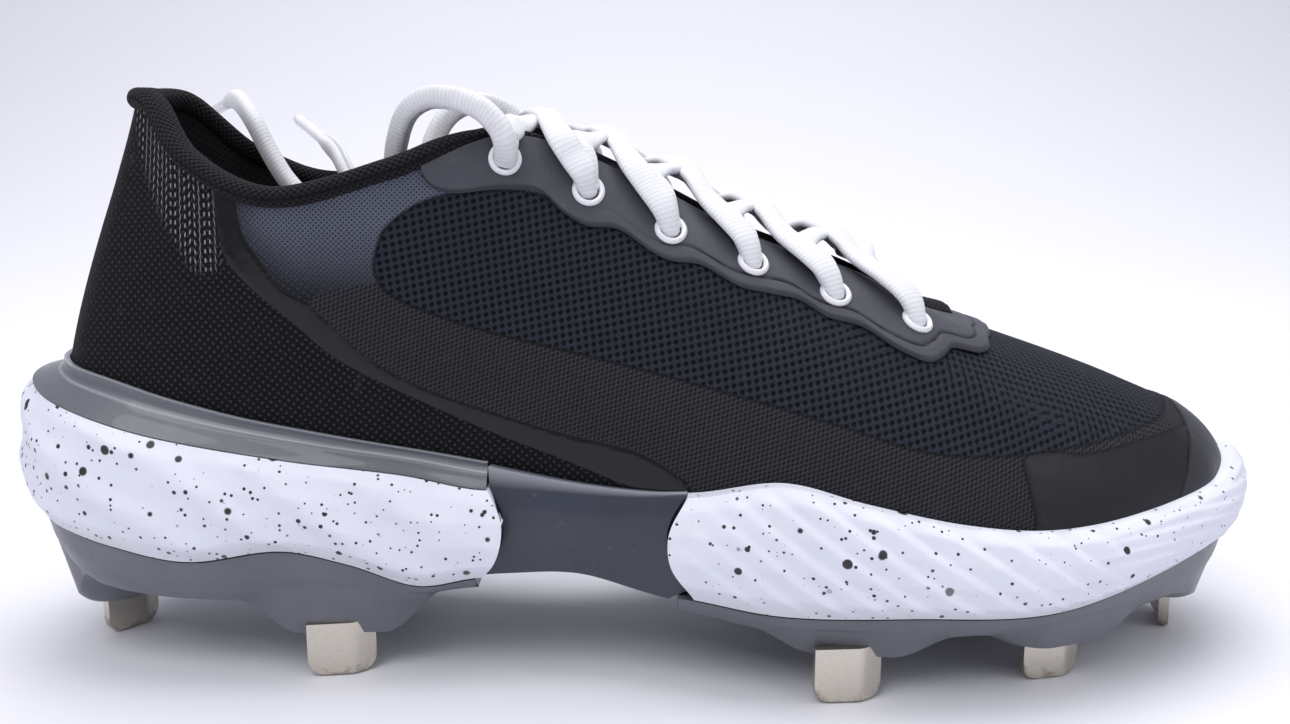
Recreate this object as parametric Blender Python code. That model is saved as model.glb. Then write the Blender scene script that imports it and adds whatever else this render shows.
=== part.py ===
"""A baseball cleat for the right foot, in metres, standing on its studs at z = 0.

+X runs from heel to toe, -Y is the outer side of the foot, +Z is up. Every piece is worked out
from the named sizes below: the outline of the sole, the side view lines of its layers, and one
function for the outer surface of the upper, which the sole rims, the clip, the overlays and the
tongue all follow at a named clearance.
"""
import functools
import math

import bmesh
import bpy
import numpy as np

# Overall sizes
LENGTH = 0.300
BALL_WIDTH = 0.104
HEEL_HEIGHT = 0.1285
INSTEP_HEIGHT = 0.124

# Heights of the sole's lines above the floor, at the ball or under the heel
FOOTBED_HEIGHT = 0.031
FOAM_RIM_HEIGHT = 0.048
FOAM_FOOT_HEIGHT = 0.020
BRIDGE_RIM_HEIGHT = 0.046
ARCH_HEIGHT = 0.026
CLIP_HEIGHT = 0.0615
PLATE_HEIGHT = 0.0175
BOSS_HEIGHT = 0.0095

# Walls and thicknesses
UPPER_WALL = 0.0022
OVERLAY_THICKNESS = 0.0009
CLIP_EDGE = 0.0013
INSOLE_THICKNESS = 0.0035
TONGUE_THICKNESS = 0.0034
COLLAR_ROLL = 0.0048

# Insets from the outline of the sole
HEEL_FEATHER_INSET = 0.0100
TOE_FEATHER_INSET = 0.0065
BRIDGE_INSET = 0.0050
PLATE_EDGE_INSET = 0.0095

# Where the clip, the bridge and the plates end, from the heel
CLIP_REACH = 0.3830 * LENGTH
HEEL_PLATE_REACH = 0.3733 * LENGTH
FORE_PLATE_START = 0.5250 * LENGTH
SILL_SETBACK = 0.0022
BRIDGE_SILL_REACH = FORE_PLATE_START - SILL_SETBACK

# Columns of every wall on each side of the shoe, so that neighbours share their facets
COLUMNS = 30

# Studs
BLADE_WIDTH = 0.0155
BLADE_THICKNESS = 0.0024
BLADE_ROOT = 0.0030
BLADE_BEND = math.radians(32)
BOSS_LENGTH = 0.032
BOSS_WIDTH = 0.016

# Lacing
EYELET_OUTER = 0.0037
EYELET_HOLE = 0.0024
EYELET_DEPTH = 0.0009
EYELET_MARGIN = 0.0135
EYESTAY_WIDTH = 0.0240
LACE_WIDTH = 0.0067
LACE_THICKNESS = 0.0036
LACE_CROWN = 0.0030
LACE_LEAVES = 0.15
LACE_LANDS = 0.90
LACE_HALFWAY = 0.55
LACE_OVERLAP = 0.0008
LACE_TUCK = 0.015
LACE_END_DIAMETER = 0.0046
AGLET_LENGTH = 0.018
AGLET_DIAMETER = 0.0030

CLEARANCE = 0.0003
SOLE_GAP = 0.0005

# Outline of the sole, heel to toe: shares of LENGTH and of BALL_WIDTH
OUTLINE = [
    dict(along=0.000, lateral=0.000, medial=0.000),
    dict(along=0.013, lateral=0.163, medial=0.163),
    dict(along=0.053, lateral=0.298, medial=0.298),
    dict(along=0.127, lateral=0.375, medial=0.365),
    dict(along=0.233, lateral=0.389, medial=0.361),
    dict(along=0.350, lateral=0.375, medial=0.322),
    dict(along=0.467, lateral=0.404, medial=0.317),
    dict(along=0.583, lateral=0.476, medial=0.385),
    dict(along=0.683, lateral=0.519, medial=0.462),
    dict(along=0.767, lateral=0.505, medial=0.481),
    dict(along=0.850, lateral=0.423, medial=0.452),
    dict(along=0.920, lateral=0.298, medial=0.370),
    dict(along=0.970, lateral=0.168, medial=0.264),
    dict(along=1.000, lateral=-0.048, medial=0.048),
]

# Edge of the collar and throat at the same stations: shares of LENGTH, BALL_WIDTH and the heights
OPENING = [
    dict(along=0.103, lateral=0.000, medial=0.000, of_heel=1.000, of_instep=0.000),
    dict(along=0.108, lateral=0.062, medial=0.062, of_heel=1.000, of_instep=0.000),
    dict(along=0.127, lateral=0.130, medial=0.130, of_heel=0.990, of_instep=0.000),
    dict(along=0.165, lateral=0.240, medial=0.235, of_heel=0.897, of_instep=0.000),
    dict(along=0.232, lateral=0.315, medial=0.300, of_heel=0.838, of_instep=0.000),
    dict(along=0.318, lateral=0.288, medial=0.270, of_heel=0.000, of_instep=0.917),
    dict(along=0.400, lateral=0.195, medial=0.185, of_heel=0.000, of_instep=0.985),
    dict(along=0.490, lateral=0.143, medial=0.138, of_heel=0.000, of_instep=0.905),
    dict(along=0.580, lateral=0.132, medial=0.132, of_heel=0.000, of_instep=0.795),
    dict(along=0.660, lateral=0.117, medial=0.120, of_heel=0.000, of_instep=0.728),
    dict(along=0.711, lateral=0.088, medial=0.096, of_heel=0.000, of_instep=0.663),
    dict(along=0.733, lateral=0.050, medial=0.068, of_heel=0.000, of_instep=0.642),
    dict(along=0.741, lateral=0.016, medial=0.040, of_heel=0.000, of_instep=0.639),
    dict(along=0.743, lateral=-0.012, medial=0.012, of_heel=0.000, of_instep=0.636),
]

# How the wall of the upper rises from the sole and leans over to that edge, at the same stations:
# rise and drop are shares of the wall's height, lean of its reach, swell of BALL_WIDTH
WALL = [
    dict(rise=0.33, swell=0.012, lean=0.29, drop=0.27),
    dict(rise=0.33, swell=0.012, lean=0.27, drop=0.27),
    dict(rise=0.34, swell=0.012, lean=0.20, drop=0.27),
    dict(rise=0.35, swell=0.014, lean=0.10, drop=0.28),
    dict(rise=0.36, swell=0.015, lean=0.05, drop=0.28),
    dict(rise=0.36, swell=0.015, lean=0.18, drop=0.24),
    dict(rise=0.36, swell=0.012, lean=0.34, drop=0.19),
    dict(rise=0.38, swell=0.010, lean=0.36, drop=0.14),
    dict(rise=0.40, swell=0.010, lean=0.37, drop=0.11),
    dict(rise=0.43, swell=0.010, lean=0.40, drop=0.10),
    dict(rise=0.45, swell=0.010, lean=0.46, drop=0.12),
    dict(rise=0.44, swell=0.012, lean=0.54, drop=0.22),
    dict(rise=0.42, swell=0.014, lean=0.60, drop=0.31),
    dict(rise=0.42, swell=0.014, lean=0.62, drop=0.35),
]

# Side view lines of the sole: along is a share of LENGTH, up a share of the line's own height
FOOTBED_LINE = [(0.00, 1.52), (0.22, 1.50), (0.34, 1.40), (0.47, 1.22), (0.60, 1.07),
                (0.73, 1.00), (0.86, 1.05), (1.00, 1.24)]
FOAM_RIM_LINE = [(0.00, 1.40), (0.05, 1.32), (0.13, 1.20), (0.23, 1.09), (0.32, 1.01), (0.38, 0.94),
                 (0.53, 0.945), (0.60, 1.02), (0.66, 0.94), (0.73, 0.85), (0.80, 0.80),
                 (0.88, 0.82), (0.95, 0.88), (1.00, 0.98)]
FOAM_FOOT_LINE = [(0.00, 1.80), (0.05, 1.70), (0.10, 1.57), (0.16, 1.44), (0.23, 1.57), (0.28, 1.40),
                  (0.33, 1.14), (0.38, 1.24), (0.53, 1.12), (0.60, 1.00), (0.70, 1.05),
                  (0.80, 1.03), (0.88, 1.22), (0.95, 1.42), (1.00, 1.62)]
BRIDGE_RIM_LINE = [(0.35, 1.13), (0.41, 1.05), (0.46, 1.00), (0.51, 0.985), (0.56, 1.02)]
ARCH_LINE = [(0.35, 0.90), (0.40, 0.97), (0.45, 1.00), (0.50, 0.88), (0.54, 0.80)]
CLIP_LINE = [(0.00, 1.17), (0.09, 1.12), (0.15, 1.05), (0.20, 0.99), (0.25, 0.94), (0.30, 0.89),
             (0.38, 0.82)]
PLATE_LINE = [(0.00, 1.38), (0.04, 1.27), (0.08, 1.09), (0.19, 1.00), (0.30, 1.00), (0.38, 1.17),
              (0.52, 1.00), (0.60, 0.80), (0.74, 0.82), (0.86, 0.84), (0.94, 0.88), (1.00, 1.20)]

# Ends of the foam in side view: up is a share of FOAM_RIM_HEIGHT, along a share of LENGTH
HEEL_NOSE = [(0.40, 0.364), (0.50, 0.377), (0.62, 0.390), (0.77, 0.395), (0.88, 0.390), (1.00, 0.378),
             (1.08, 0.371)]
FORE_NOSE = [(0.38, 0.545), (0.50, 0.533), (0.62, 0.520), (0.75, 0.517), (0.85, 0.522), (1.00, 0.538)]

# Rounding of each layer's side: level from its foot to its rim, inset from the outline
FOAM_SIDE = [(0.00, 0.0034), (0.16, 0.0012), (0.40, 0.0002), (0.66, 0.0006), (0.88, 0.0020), (1.00, 0.0036)]
PLATE_SIDE = [(0.00, 0.0040), (0.45, 0.0052), (0.80, 0.0072), (1.00, PLATE_EDGE_INSET)]

# Studs of each plate: shares of LENGTH and BALL_WIDTH, and the turn of the blade's long face in degrees
HEEL_STUDS = [
    dict(name="stud_heel_rear", along=0.072, across=-0.019, turn=52),
    dict(name="stud_heel_lateral", along=0.268, across=-0.300, turn=8),
    dict(name="stud_heel_medial", along=0.268, across=0.285, turn=172),
]
FORE_STUDS = [
    dict(name="stud_ball_lateral", along=0.650, across=-0.440, turn=4),
    dict(name="stud_ball_medial", along=0.650, across=0.375, turn=176),
    dict(name="stud_fore_lateral", along=0.812, across=-0.315, turn=14),
    dict(name="stud_fore_medial", along=0.812, across=0.345, turn=166),
    dict(name="stud_toe", along=0.943, across=0.020, turn=67),
]

# Eyelets on each side, from the collar down: a share of LENGTH, and of EYELET_MARGIN below the edge
EYELETS = [
    dict(along=0.397, below=0.41),
    dict(along=0.458, below=0.86),
    dict(along=0.519, below=1.15),
    dict(along=0.580, below=1.15),
    dict(along=0.642, below=1.22),
    dict(along=0.703, below=1.40),
]

# Lower edge of the eyestay: station, and a share of EYESTAY_WIDTH below the throat's edge
EYESTAY_EDGE = [(5.35, 0.30), (5.85, 0.50), (6.10, 0.60), (6.35, 0.85), (7.20, 0.98), (8.70, 1.15),
                (9.40, 1.00), (11.60, 0.60)]

# Spans of stations of the pieces that cover a part of the way round
EYESTAY_SPAN = (5.35, 11.6)
TONGUE_SPAN = (5.75, 10.6)
COLLAR_SPAN = (-5.7, 5.7)
TOE_GUARD_REACH = 2.6

# Stations run round the whole shoe: 0 at the heel, TOE at the toe tip, then back along the inside
TOE = len(OUTLINE) - 1
ROUND = 2 * TOE


def around(table, columns):
    """Rows for the outer side, heel to toe, then the inner side, toe to heel."""
    outer = [columns(row, -1) for row in table]
    inner = [columns(row, 1) for row in table[-2:0:-1]]
    return np.array(outer + inner)


def side_share(row, side):
    return -row["lateral"] if side < 0 else row["medial"]


OUTLINE_ROWS = around(OUTLINE, lambda row, side: (
    row["along"] * LENGTH, side_share(row, side) * BALL_WIDTH))
OPENING_ROWS = around(OPENING, lambda row, side: (
    row["along"] * LENGTH,
    side_share(row, side) * BALL_WIDTH,
    row["of_heel"] * HEEL_HEIGHT + row["of_instep"] * INSTEP_HEIGHT))
WALL_ROWS = around(WALL, lambda row, side: (row["rise"], row["swell"] * BALL_WIDTH, row["lean"], row["drop"]))


def smooth(a, b, c, d, t):
    """A point between b and c on the smooth curve through a, b, c and d."""
    return 0.5 * (2 * b + (c - a) * t + (2 * a - 5 * b + 4 * c - d) * t * t + (3 * b - a - 3 * c + d) * t ** 3)


def at_station(rows, station):
    """A closed table read smoothly at any station round the shoe."""
    first = math.floor(station)
    a, b, c, d = (rows[(first + step) % len(rows)] for step in (-1, 0, 1, 2))
    return smooth(a, b, c, d, station - first)


def read_line(line, along):
    """A line given as (along, value) pairs, read smoothly and held level past its ends."""
    if along <= line[0][0]:
        return line[0][1]
    if along >= line[-1][0]:
        return line[-1][1]
    k = max(i for i, pair in enumerate(line) if pair[0] <= along)
    x0, y0 = line[k]
    x1, y1 = line[k + 1]
    before = line[k - 1] if k else line[0]
    after = line[k + 2] if k + 2 < len(line) else line[-1]
    slope0 = (y1 - before[1]) / (x1 - before[0])
    slope1 = (after[1] - y0) / (after[0] - x0)
    t = (along - x0) / (x1 - x0)
    span = x1 - x0
    return ((2 * t ** 3 - 3 * t ** 2 + 1) * y0 + (t ** 3 - 2 * t ** 2 + t) * span * slope0
            + (3 * t ** 2 - 2 * t ** 3) * y1 + (t ** 3 - t ** 2) * span * slope1)


def line_height(line, size, x):
    return read_line(line, x / LENGTH) * size


def footbed(x):
    return line_height(FOOTBED_LINE, FOOTBED_HEIGHT, x)


def foam_rim(x):
    return line_height(FOAM_RIM_LINE, FOAM_RIM_HEIGHT, x)


def foam_foot(x):
    return line_height(FOAM_FOOT_LINE, FOAM_FOOT_HEIGHT, x)


def clip_top(x):
    return line_height(CLIP_LINE, CLIP_HEIGHT, x)


def bridge_rim(x):
    return line_height(BRIDGE_RIM_LINE, BRIDGE_RIM_HEIGHT, x)


def arch(x):
    return line_height(ARCH_LINE, ARCH_HEIGHT, x)


def plate_bottom(x):
    return line_height(PLATE_LINE, PLATE_HEIGHT, x)


def outline_point(station, inset, up_of=None):
    """A point of the sole's outline moved in by the inset, at the height that its own x gives."""
    here = at_station(OUTLINE_ROWS, station)
    tangent = at_station(OUTLINE_ROWS, station + 0.01) - at_station(OUTLINE_ROWS, station - 0.01)
    tangent /= np.linalg.norm(tangent)
    x = here[0] - tangent[1] * inset
    return np.array((x, here[1] + tangent[0] * inset, up_of(x) if up_of else 0.0))


def feather_inset(station):
    share = min(1.0, max(0.0, (at_station(OUTLINE_ROWS, station)[0] / LENGTH - 0.35) / 0.30))
    share = share * share * (3 - 2 * share)
    return HEEL_FEATHER_INSET + (TOE_FEATHER_INSET - HEEL_FEATHER_INSET) * share


@functools.lru_cache(maxsize=None)
def wall_curve(station):
    """The four control points of the upper's wall at a station, from the sole to the edge."""
    foot = outline_point(station, feather_inset(station), footbed)
    foot[2] += CLEARANCE
    edge = at_station(OPENING_ROWS, station)
    rise, swell, lean, drop = at_station(WALL_ROWS, station)
    tall = edge[2] - foot[2]
    first = outline_point(station, feather_inset(station) - swell)
    first[2] = foot[2] + rise * tall
    last = edge + (foot - edge) * lean
    last[2] = edge[2] - drop * tall
    return foot, first, last, edge


def surface(station, share):
    """The upper's outer surface: share 0 at the sole, 1 at the edge of the collar and throat."""
    foot, first, last, edge = wall_curve(station)
    t, u = share, 1 - share
    return u ** 3 * foot + 3 * u * u * t * first + 3 * u * t * t * last + t ** 3 * edge


def outward(station, share):
    """The direction out of the upper's surface."""
    low = max(0.0, share - 0.01)
    high = min(1.0, share + 0.01)
    along = surface(station + 0.02, share) - surface(station - 0.02, share)
    up = surface(station, high) - surface(station, low)
    normal = np.cross(along, up)
    return normal / np.linalg.norm(normal)


def off_surface(station, share, distance):
    return surface(station, share) + outward(station, share) * distance


def share_at_height(station, up):
    """How far up the wall a height is met."""
    low, high = 0.0, 1.0
    for _ in range(20):
        middle = 0.5 * (low + high)
        if surface(station, middle)[2] < up:
            low = middle
        else:
            high = middle
    return 0.5 * (low + high)


def wall_point(station, up_of, distance):
    """The upper's surface, moved out by a distance, at the height that its own x gives."""
    point = surface(station, 0.0)
    for _ in range(2):
        up = up_of(point[0])
        point = off_surface(station, share_at_height(station, up), distance)
        point[2] = up_of(point[0])
    return point


def bed_point(station):
    """Just outside the foot of the upper's wall, on the footbed."""
    point = off_surface(station, 0.0, CLEARANCE)
    point[2] = footbed(point[0])
    return point


GRID = [TOE * i / COLUMNS for i in range(COLUMNS + 1)]


def end_station(maker, x, inner_side):
    """The station, counted on the outer side, where a maker's point stands at x."""
    low, high = 0.0, float(TOE)
    for _ in range(22):
        middle = 0.5 * (low + high)
        if maker(ROUND - middle if inner_side else middle)[0] < x:
            low = middle
        else:
            high = middle
    return 0.5 * (low + high)


def columns_between(makers, starts, stops):
    """For each side and maker, its stations: exact ends and the grid's stations between them all."""
    sides = []
    for inner_side in (False, True):
        first = [end_station(m, x, inner_side) if x is not None else 0.0 for m, x in zip(makers, starts)]
        last = [end_station(m, x, inner_side) if x is not None else float(TOE) for m, x in zip(makers, stops)]
        sides.append((first, last))
    margin = 0.08
    low = max(max(first) for first, _ in sides) + margin
    high = min(min(last) for _, last in sides) - margin
    between = [station for station in GRID if low < station < high]
    columns = []
    for inner_side, (first, last) in zip((False, True), sides):
        rows = [[a] + between + [b] for a, b in zip(first, last)]
        if inner_side:
            rows = [[ROUND - station for station in row] for row in rows]
        columns.append(rows)
    return columns


def grid_between(start, stop):
    """Both ends and the grid's stations between them, all round the shoe."""
    step = TOE / COLUMNS
    inner = [i * step for i in range(-ROUND * 3, ROUND * 6) if start + 0.1 < i * step < stop - 0.1]
    return [start] + inner + [stop]


def make_material(name, colour, roughness, metallic=0.0):
    material = bpy.data.materials.new(name)
    material.use_nodes = True
    shader = material.node_tree.nodes["Principled BSDF"]
    shader.inputs["Base Color"].default_value = (*colour, 1.0)
    shader.inputs["Roughness"].default_value = roughness
    shader.inputs["Metallic"].default_value = metallic
    material.diffuse_color = (*colour, 1.0)
    return material


def make_object(name, points, faces, material, sharp_angle=40):
    """One closed mesh with coincident points merged and its faces pointing out."""
    work = bmesh.new()
    verts = [work.verts.new(point) for point in points]
    for face in faces:
        work.faces.new([verts[i] for i in face])
    bmesh.ops.remove_doubles(work, verts=work.verts, dist=2e-6)
    bmesh.ops.dissolve_degenerate(work, edges=work.edges, dist=2e-6)
    bmesh.ops.recalc_face_normals(work, faces=work.faces)
    mesh = bpy.data.meshes.new(name)
    work.to_mesh(mesh)
    work.free()
    mesh.shade_smooth()
    mesh.set_sharp_from_angle(angle=math.radians(sharp_angle))
    mesh.materials.append(material)
    thing = bpy.data.objects.new(name, mesh)
    bpy.context.collection.objects.link(thing)
    return thing


def joined_rows(rows, caps):
    """Faces of a body made of closed rows of equal size, with its ends capped where asked."""
    size = len(rows[0])
    faces = []
    for r in range(len(rows) - 1):
        for i in range(size):
            j = (i + 1) % size
            faces.append((r * size + i, r * size + j, (r + 1) * size + j, (r + 1) * size + i))
    if caps[0]:
        faces.append(tuple(range(size)))
    if caps[1]:
        faces.append(tuple((len(rows) - 1) * size + j for j in range(size)))
    return faces


def swept(name, makers, starts, stops, material):
    """A body whose lateral and medial sides follow point makers, joined across by strips."""
    lateral, medial = columns_between(makers, starts, stops)
    count = len(lateral[0])
    rows = []
    for j in range(count):
        left = [maker(stations_of[j]) for maker, stations_of in zip(makers, lateral)]
        right = [maker(stations_of[j]) for maker, stations_of in zip(makers, medial)]
        rows.append(left + right[::-1])
    faces = joined_rows(rows, (False, False))
    size = len(rows[0])
    half = size // 2
    for j, wanted in ((0, starts[0] is not None), (count - 1, stops[0] is not None)):
        if not wanted:
            continue
        base = j * size
        bed = rows[j][half - 1][2]
        below = max(k for k in range(half - 2) if k == 0 or rows[j][k][2] < bed - 1e-4)
        for k in range(below):
            faces.append((base + k, base + k + 1, base + size - 2 - k, base + size - 1 - k))
        faces.append((base + below, base + half - 1, base + half, base + size - 1 - below))
        faces.append(tuple(base + k for k in range(below, half)))
        faces.append(tuple(base + size - 1 - k for k in range(below, half)))
    points = [point for row in rows for point in row]
    return make_object(name, points, faces, material)


def slab(name, makers, starts, stops, material):
    """A solid through lateral and medial rows without a hollow: flat across its top and bottom."""
    lateral, medial = columns_between(makers, starts, stops)
    rows = []
    for j in range(len(lateral[0])):
        left = [maker(row[j]) for maker, row in zip(makers, lateral)]
        right = [maker(row[j]) for maker, row in zip(makers, medial)]
        rows.append(left + right[::-1])
    faces = joined_rows(rows, (starts[0] is not None, stops[0] is not None))
    return make_object(name, [point for row in rows for point in row], faces, material)


def shell(name, columns, rows_of, low, high, material, closed=False):
    """A wall cut from the upper's function between two distances from its surface."""
    grids = [[[off_surface(station, share, distance) for share in rows_of(station)] for station in columns]
             for distance in (low, high)]
    wide, tall = len(grids[0]), len(grids[0][0])
    points = [point for grid in grids for column in grid for point in column]

    def index(side, i, j):
        return (side * wide + i % wide) * tall + j

    faces = []
    last = wide if closed else wide - 1
    for i in range(last):
        for j in range(tall - 1):
            faces.append((index(1, i, j), index(1, i + 1, j), index(1, i + 1, j + 1), index(1, i, j + 1)))
            faces.append((index(0, i, j), index(0, i, j + 1), index(0, i + 1, j + 1), index(0, i + 1, j)))
        for j in (0, tall - 1):
            faces.append((index(0, i, j), index(0, i + 1, j), index(1, i + 1, j), index(1, i, j)))
    if not closed:
        for i in (0, wide - 1):
            for j in range(tall - 1):
                faces.append((index(0, i, j), index(0, i, j + 1), index(1, i, j + 1), index(1, i, j)))
    return make_object(name, points, faces, material)


def apply_boolean(target, cutter, operation):
    """Joins or cuts with another object and leaves that one out of the model."""
    step = target.modifiers.new(operation.lower(), "BOOLEAN")
    step.operation = operation
    step.object = cutter
    step.solver = "EXACT"
    cutter.hide_render = True
    cutter.display_type = "WIRE"


def level_maker(inset, level_of, foot_of, rim_of):
    """Points of a layer's side at an inset and a level between its foot and its rim."""
    def up_of(x):
        return foot_of(x) + level_of(x) * (rim_of(x) - foot_of(x))
    return lambda station: outline_point(station, inset, up_of)


def foam_makers():
    makers = [level_maker(inset, lambda x, level=level: level, foam_foot, foam_rim) for level, inset in FOAM_SIDE]
    makers.append(lambda station: wall_point(station, foam_rim, CLEARANCE))
    makers.append(lambda station: wall_point(station, lambda x: 0.5 * (foam_rim(x) + footbed(x)), CLEARANCE))
    makers.append(bed_point)
    return makers


def nose_corner(nose, level):
    """Where a foam end stands at a level, and its height there."""
    x = read_line(nose, 0.75) * LENGTH
    up = 0.0
    for _ in range(20):
        up = foam_foot(x) + level * (foam_rim(x) - foam_foot(x))
        x = read_line(nose, up / FOAM_RIM_HEIGHT) * LENGTH
    return x, up


def nose_ends(nose):
    """The x of each maker's end: one for every level, and the rim's again for the hollow."""
    corners = [nose_corner(nose, level)[0] for level, _ in FOAM_SIDE]
    return corners + [corners[-1]] * 3


def make_midsole_heel(material):
    makers = foam_makers()
    return swept("midsole_heel", makers, [None] * len(makers), nose_ends(HEEL_NOSE), material)


def make_midsole_forefoot(material):
    makers = foam_makers()
    return swept("midsole_forefoot", makers, nose_ends(FORE_NOSE), [None] * len(makers), material)


def make_midfoot_bridge(material):
    """The slate piece between the two foams, its ends hollowed to their noses."""
    makers, starts, stops = [], [], []
    for k, (level, _) in enumerate(FOAM_SIDE):
        x0, up0 = nose_corner(HEEL_NOSE, level)
        x1, up1 = nose_corner(FORE_NOSE, level)
        x0 += 2 * CLEARANCE
        x1 -= 2 * CLEARANCE
        if k == 0:
            up0, up1 = arch(x0), arch(x1)
            x1 = BRIDGE_SILL_REACH
        level0 = (up0 - arch(x0)) / (bridge_rim(x0) - arch(x0))
        level1 = (up1 - arch(x1)) / (bridge_rim(x1) - arch(x1))

        def level_of(x, level0=level0, level1=level1, x0=x0, x1=x1):
            return level0 + (level1 - level0) * (x - x0) / (x1 - x0)

        makers.append(level_maker(BRIDGE_INSET + 0.0012 * (2 * level - 1) ** 2, level_of, arch, bridge_rim))
        starts.append(x0)
        stops.append(x1)
    makers.append(level_maker(BRIDGE_INSET + 0.0016, lambda x: 1.0, arch, bridge_rim))
    makers.append(lambda station: wall_point(station, bridge_rim, CLEARANCE))
    makers.append(bed_point)
    rim_start = CLIP_REACH + CLEARANCE
    rim_stop = stops[-1]
    starts += [rim_start, starts[-1] + CLEARANCE, starts[-1] + CLEARANCE]
    stops += [rim_stop, rim_stop, rim_stop]
    return swept("midfoot_bridge", makers, starts, stops, material)


def make_heel_clip(material):
    """The grey clip that stands on the heel foam's rim and hugs the upper."""
    def low(x):
        return foam_rim(x) + CLEARANCE

    def waist(x):
        return low(x) + 0.55 * (clip_top(x) - low(x))

    def at_waist(station):
        point = 0.35 * outline_point(station, FOAM_SIDE[-1][1], low)
        point += 0.65 * wall_point(station, waist, CLEARANCE + CLIP_EDGE)
        point[2] = waist(point[0])
        return point

    makers = (
        lambda station: wall_point(station, low, CLEARANCE),
        lambda station: outline_point(station, FOAM_SIDE[-1][1], low),
        at_waist,
        lambda station: wall_point(station, clip_top, CLEARANCE + CLIP_EDGE),
        lambda station: wall_point(station, clip_top, CLEARANCE),
        lambda station: wall_point(station, waist, CLEARANCE),
    )
    lateral, medial = columns_between(makers, [None] * len(makers), [CLIP_REACH] * len(makers))
    count = len(lateral[0])
    rows = [[maker(row[j]) for maker, row in zip(makers, medial)] for j in range(count - 1, 0, -1)]
    rows += [[maker(row[j]) for maker, row in zip(makers, lateral)] for j in range(count)]
    return make_object("heel_clip", [point for row in rows for point in row],
                       joined_rows(rows, (True, True)), material)


def blade_columns(width, ends):
    """Places along a blade with the height of its lower edge there, rounded at both corners."""
    radius = 0.22 * width
    corner = [(0.0, radius), (0.25, 0.34 * radius), (1.0, 0.0)]
    left = [(-0.5 * width + share * radius, up) for share, up in corner]
    right = [(-x, up) for x, up in reversed(left)]
    fold = [(0.16 * width, 0.0)]
    if ends:
        return left + fold + right
    return [(-0.5 * width, 0.0)] + fold + [(0.5 * width, 0.0)]


def blade_points(columns, thickness, top, fold_at, low=0.0):
    """Corner rows of a folded strip: each column has two faces and two heights."""
    rows = []
    for x, up in columns:
        past = max(0.0, x - fold_at)
        centre = np.array((x - past + past * math.cos(BLADE_BEND), past * math.sin(BLADE_BEND)))
        turn = BLADE_BEND if x > fold_at + 1e-9 else (0.5 * BLADE_BEND if x > fold_at - 1e-9 else 0.0)
        across = np.array((-math.sin(turn), math.cos(turn))) * 0.5 * thickness
        for side, z in ((-1, low + up), (1, low + up), (1, top), (-1, top)):
            rows.append(np.array((*(centre + side * across), z)))
    return rows


def folded_strip(name, width, thickness, top, rounded, low, material, place):
    columns = blade_columns(width, rounded)
    points = blade_points(columns, thickness, top, 0.16 * width, low)
    turn, shift = place
    spun = [np.array((p[0] * math.cos(turn) - p[1] * math.sin(turn) + shift[0],
                      p[0] * math.sin(turn) + p[1] * math.cos(turn) + shift[1], p[2])) for p in points]
    faces = []
    last = len(columns) - 1
    for i in range(last):
        for j in range(4):
            k = (j + 1) % 4
            faces.append((4 * i + j, 4 * i + k, 4 * i + 4 + k, 4 * i + 4 + j))
    faces.append((0, 1, 2, 3))
    faces.append((4 * last, 4 * last + 1, 4 * last + 2, 4 * last + 3))
    return make_object(name, spun, faces, material, 30)


def stud_place(stud):
    return math.radians(stud["turn"]), (stud["along"] * LENGTH, stud["across"] * BALL_WIDTH)


def make_studs(material):
    return [folded_strip(stud["name"], BLADE_WIDTH, BLADE_THICKNESS, BOSS_HEIGHT + BLADE_ROOT, True, 0.0,
                         material, stud_place(stud)) for stud in HEEL_STUDS + FORE_STUDS]


def make_boss(stud, ceiling, material):
    """The moulded mound that holds a blade, widest a little above its foot."""
    turn, (x, y) = stud_place(stud)
    tall = ceiling - BOSS_HEIGHT
    sizes = [(0.0, 0.62, 0.50), (0.35, 0.92, 0.92), (0.65, 1.0, 1.0), (1.0, 0.72, 0.55)]
    around_count = 14
    points = []
    for level, long_share, wide_share in sizes:
        for i in range(around_count):
            angle = 2 * math.pi * i / around_count
            a = 0.5 * BOSS_LENGTH * long_share * math.cos(angle)
            b = 0.5 * BOSS_WIDTH * wide_share * math.sin(angle)
            points.append((x + a * math.cos(turn) - b * math.sin(turn),
                           y + a * math.sin(turn) + b * math.cos(turn), BOSS_HEIGHT + level * tall))
    faces = []
    for r in range(len(sizes) - 1):
        for i in range(around_count):
            j = (i + 1) % around_count
            faces.append((r * around_count + i, r * around_count + j,
                          (r + 1) * around_count + j, (r + 1) * around_count + i))
    faces.append(tuple(range(around_count)))
    faces.append(tuple((len(sizes) - 1) * around_count + i for i in range(around_count)))
    return make_object("boss_" + stud["name"], points, faces, material)


def make_plate(name, start, stop, studs, material):
    """A sole plate under the foam with its stud mounds joined on and their sockets cut."""
    def under_foam(x):
        return foam_foot(x) - SOLE_GAP

    makers = [level_maker(inset, lambda x, level=level: level, under_foam, plate_bottom)
              for level, inset in PLATE_SIDE]
    plate = slab(name, makers, [start] * len(makers), [stop] * len(makers), material)
    for stud in studs:
        reach = 0.4 * BOSS_LENGTH
        ceiling = min(foam_foot(stud["along"] * LENGTH + shift) for shift in (-reach, 0.0, reach))
        apply_boolean(plate, make_boss(stud, ceiling - 3 * CLEARANCE, material), "UNION")
    for stud in studs:
        socket = folded_strip("socket_" + stud["name"], BLADE_WIDTH + 2 * CLEARANCE,
                              BLADE_THICKNESS + 2 * CLEARANCE, BOSS_HEIGHT + BLADE_ROOT + CLEARANCE, False,
                              BOSS_HEIGHT - 0.002, material, stud_place(stud))
        apply_boolean(plate, socket, "DIFFERENCE")
    return plate


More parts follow.
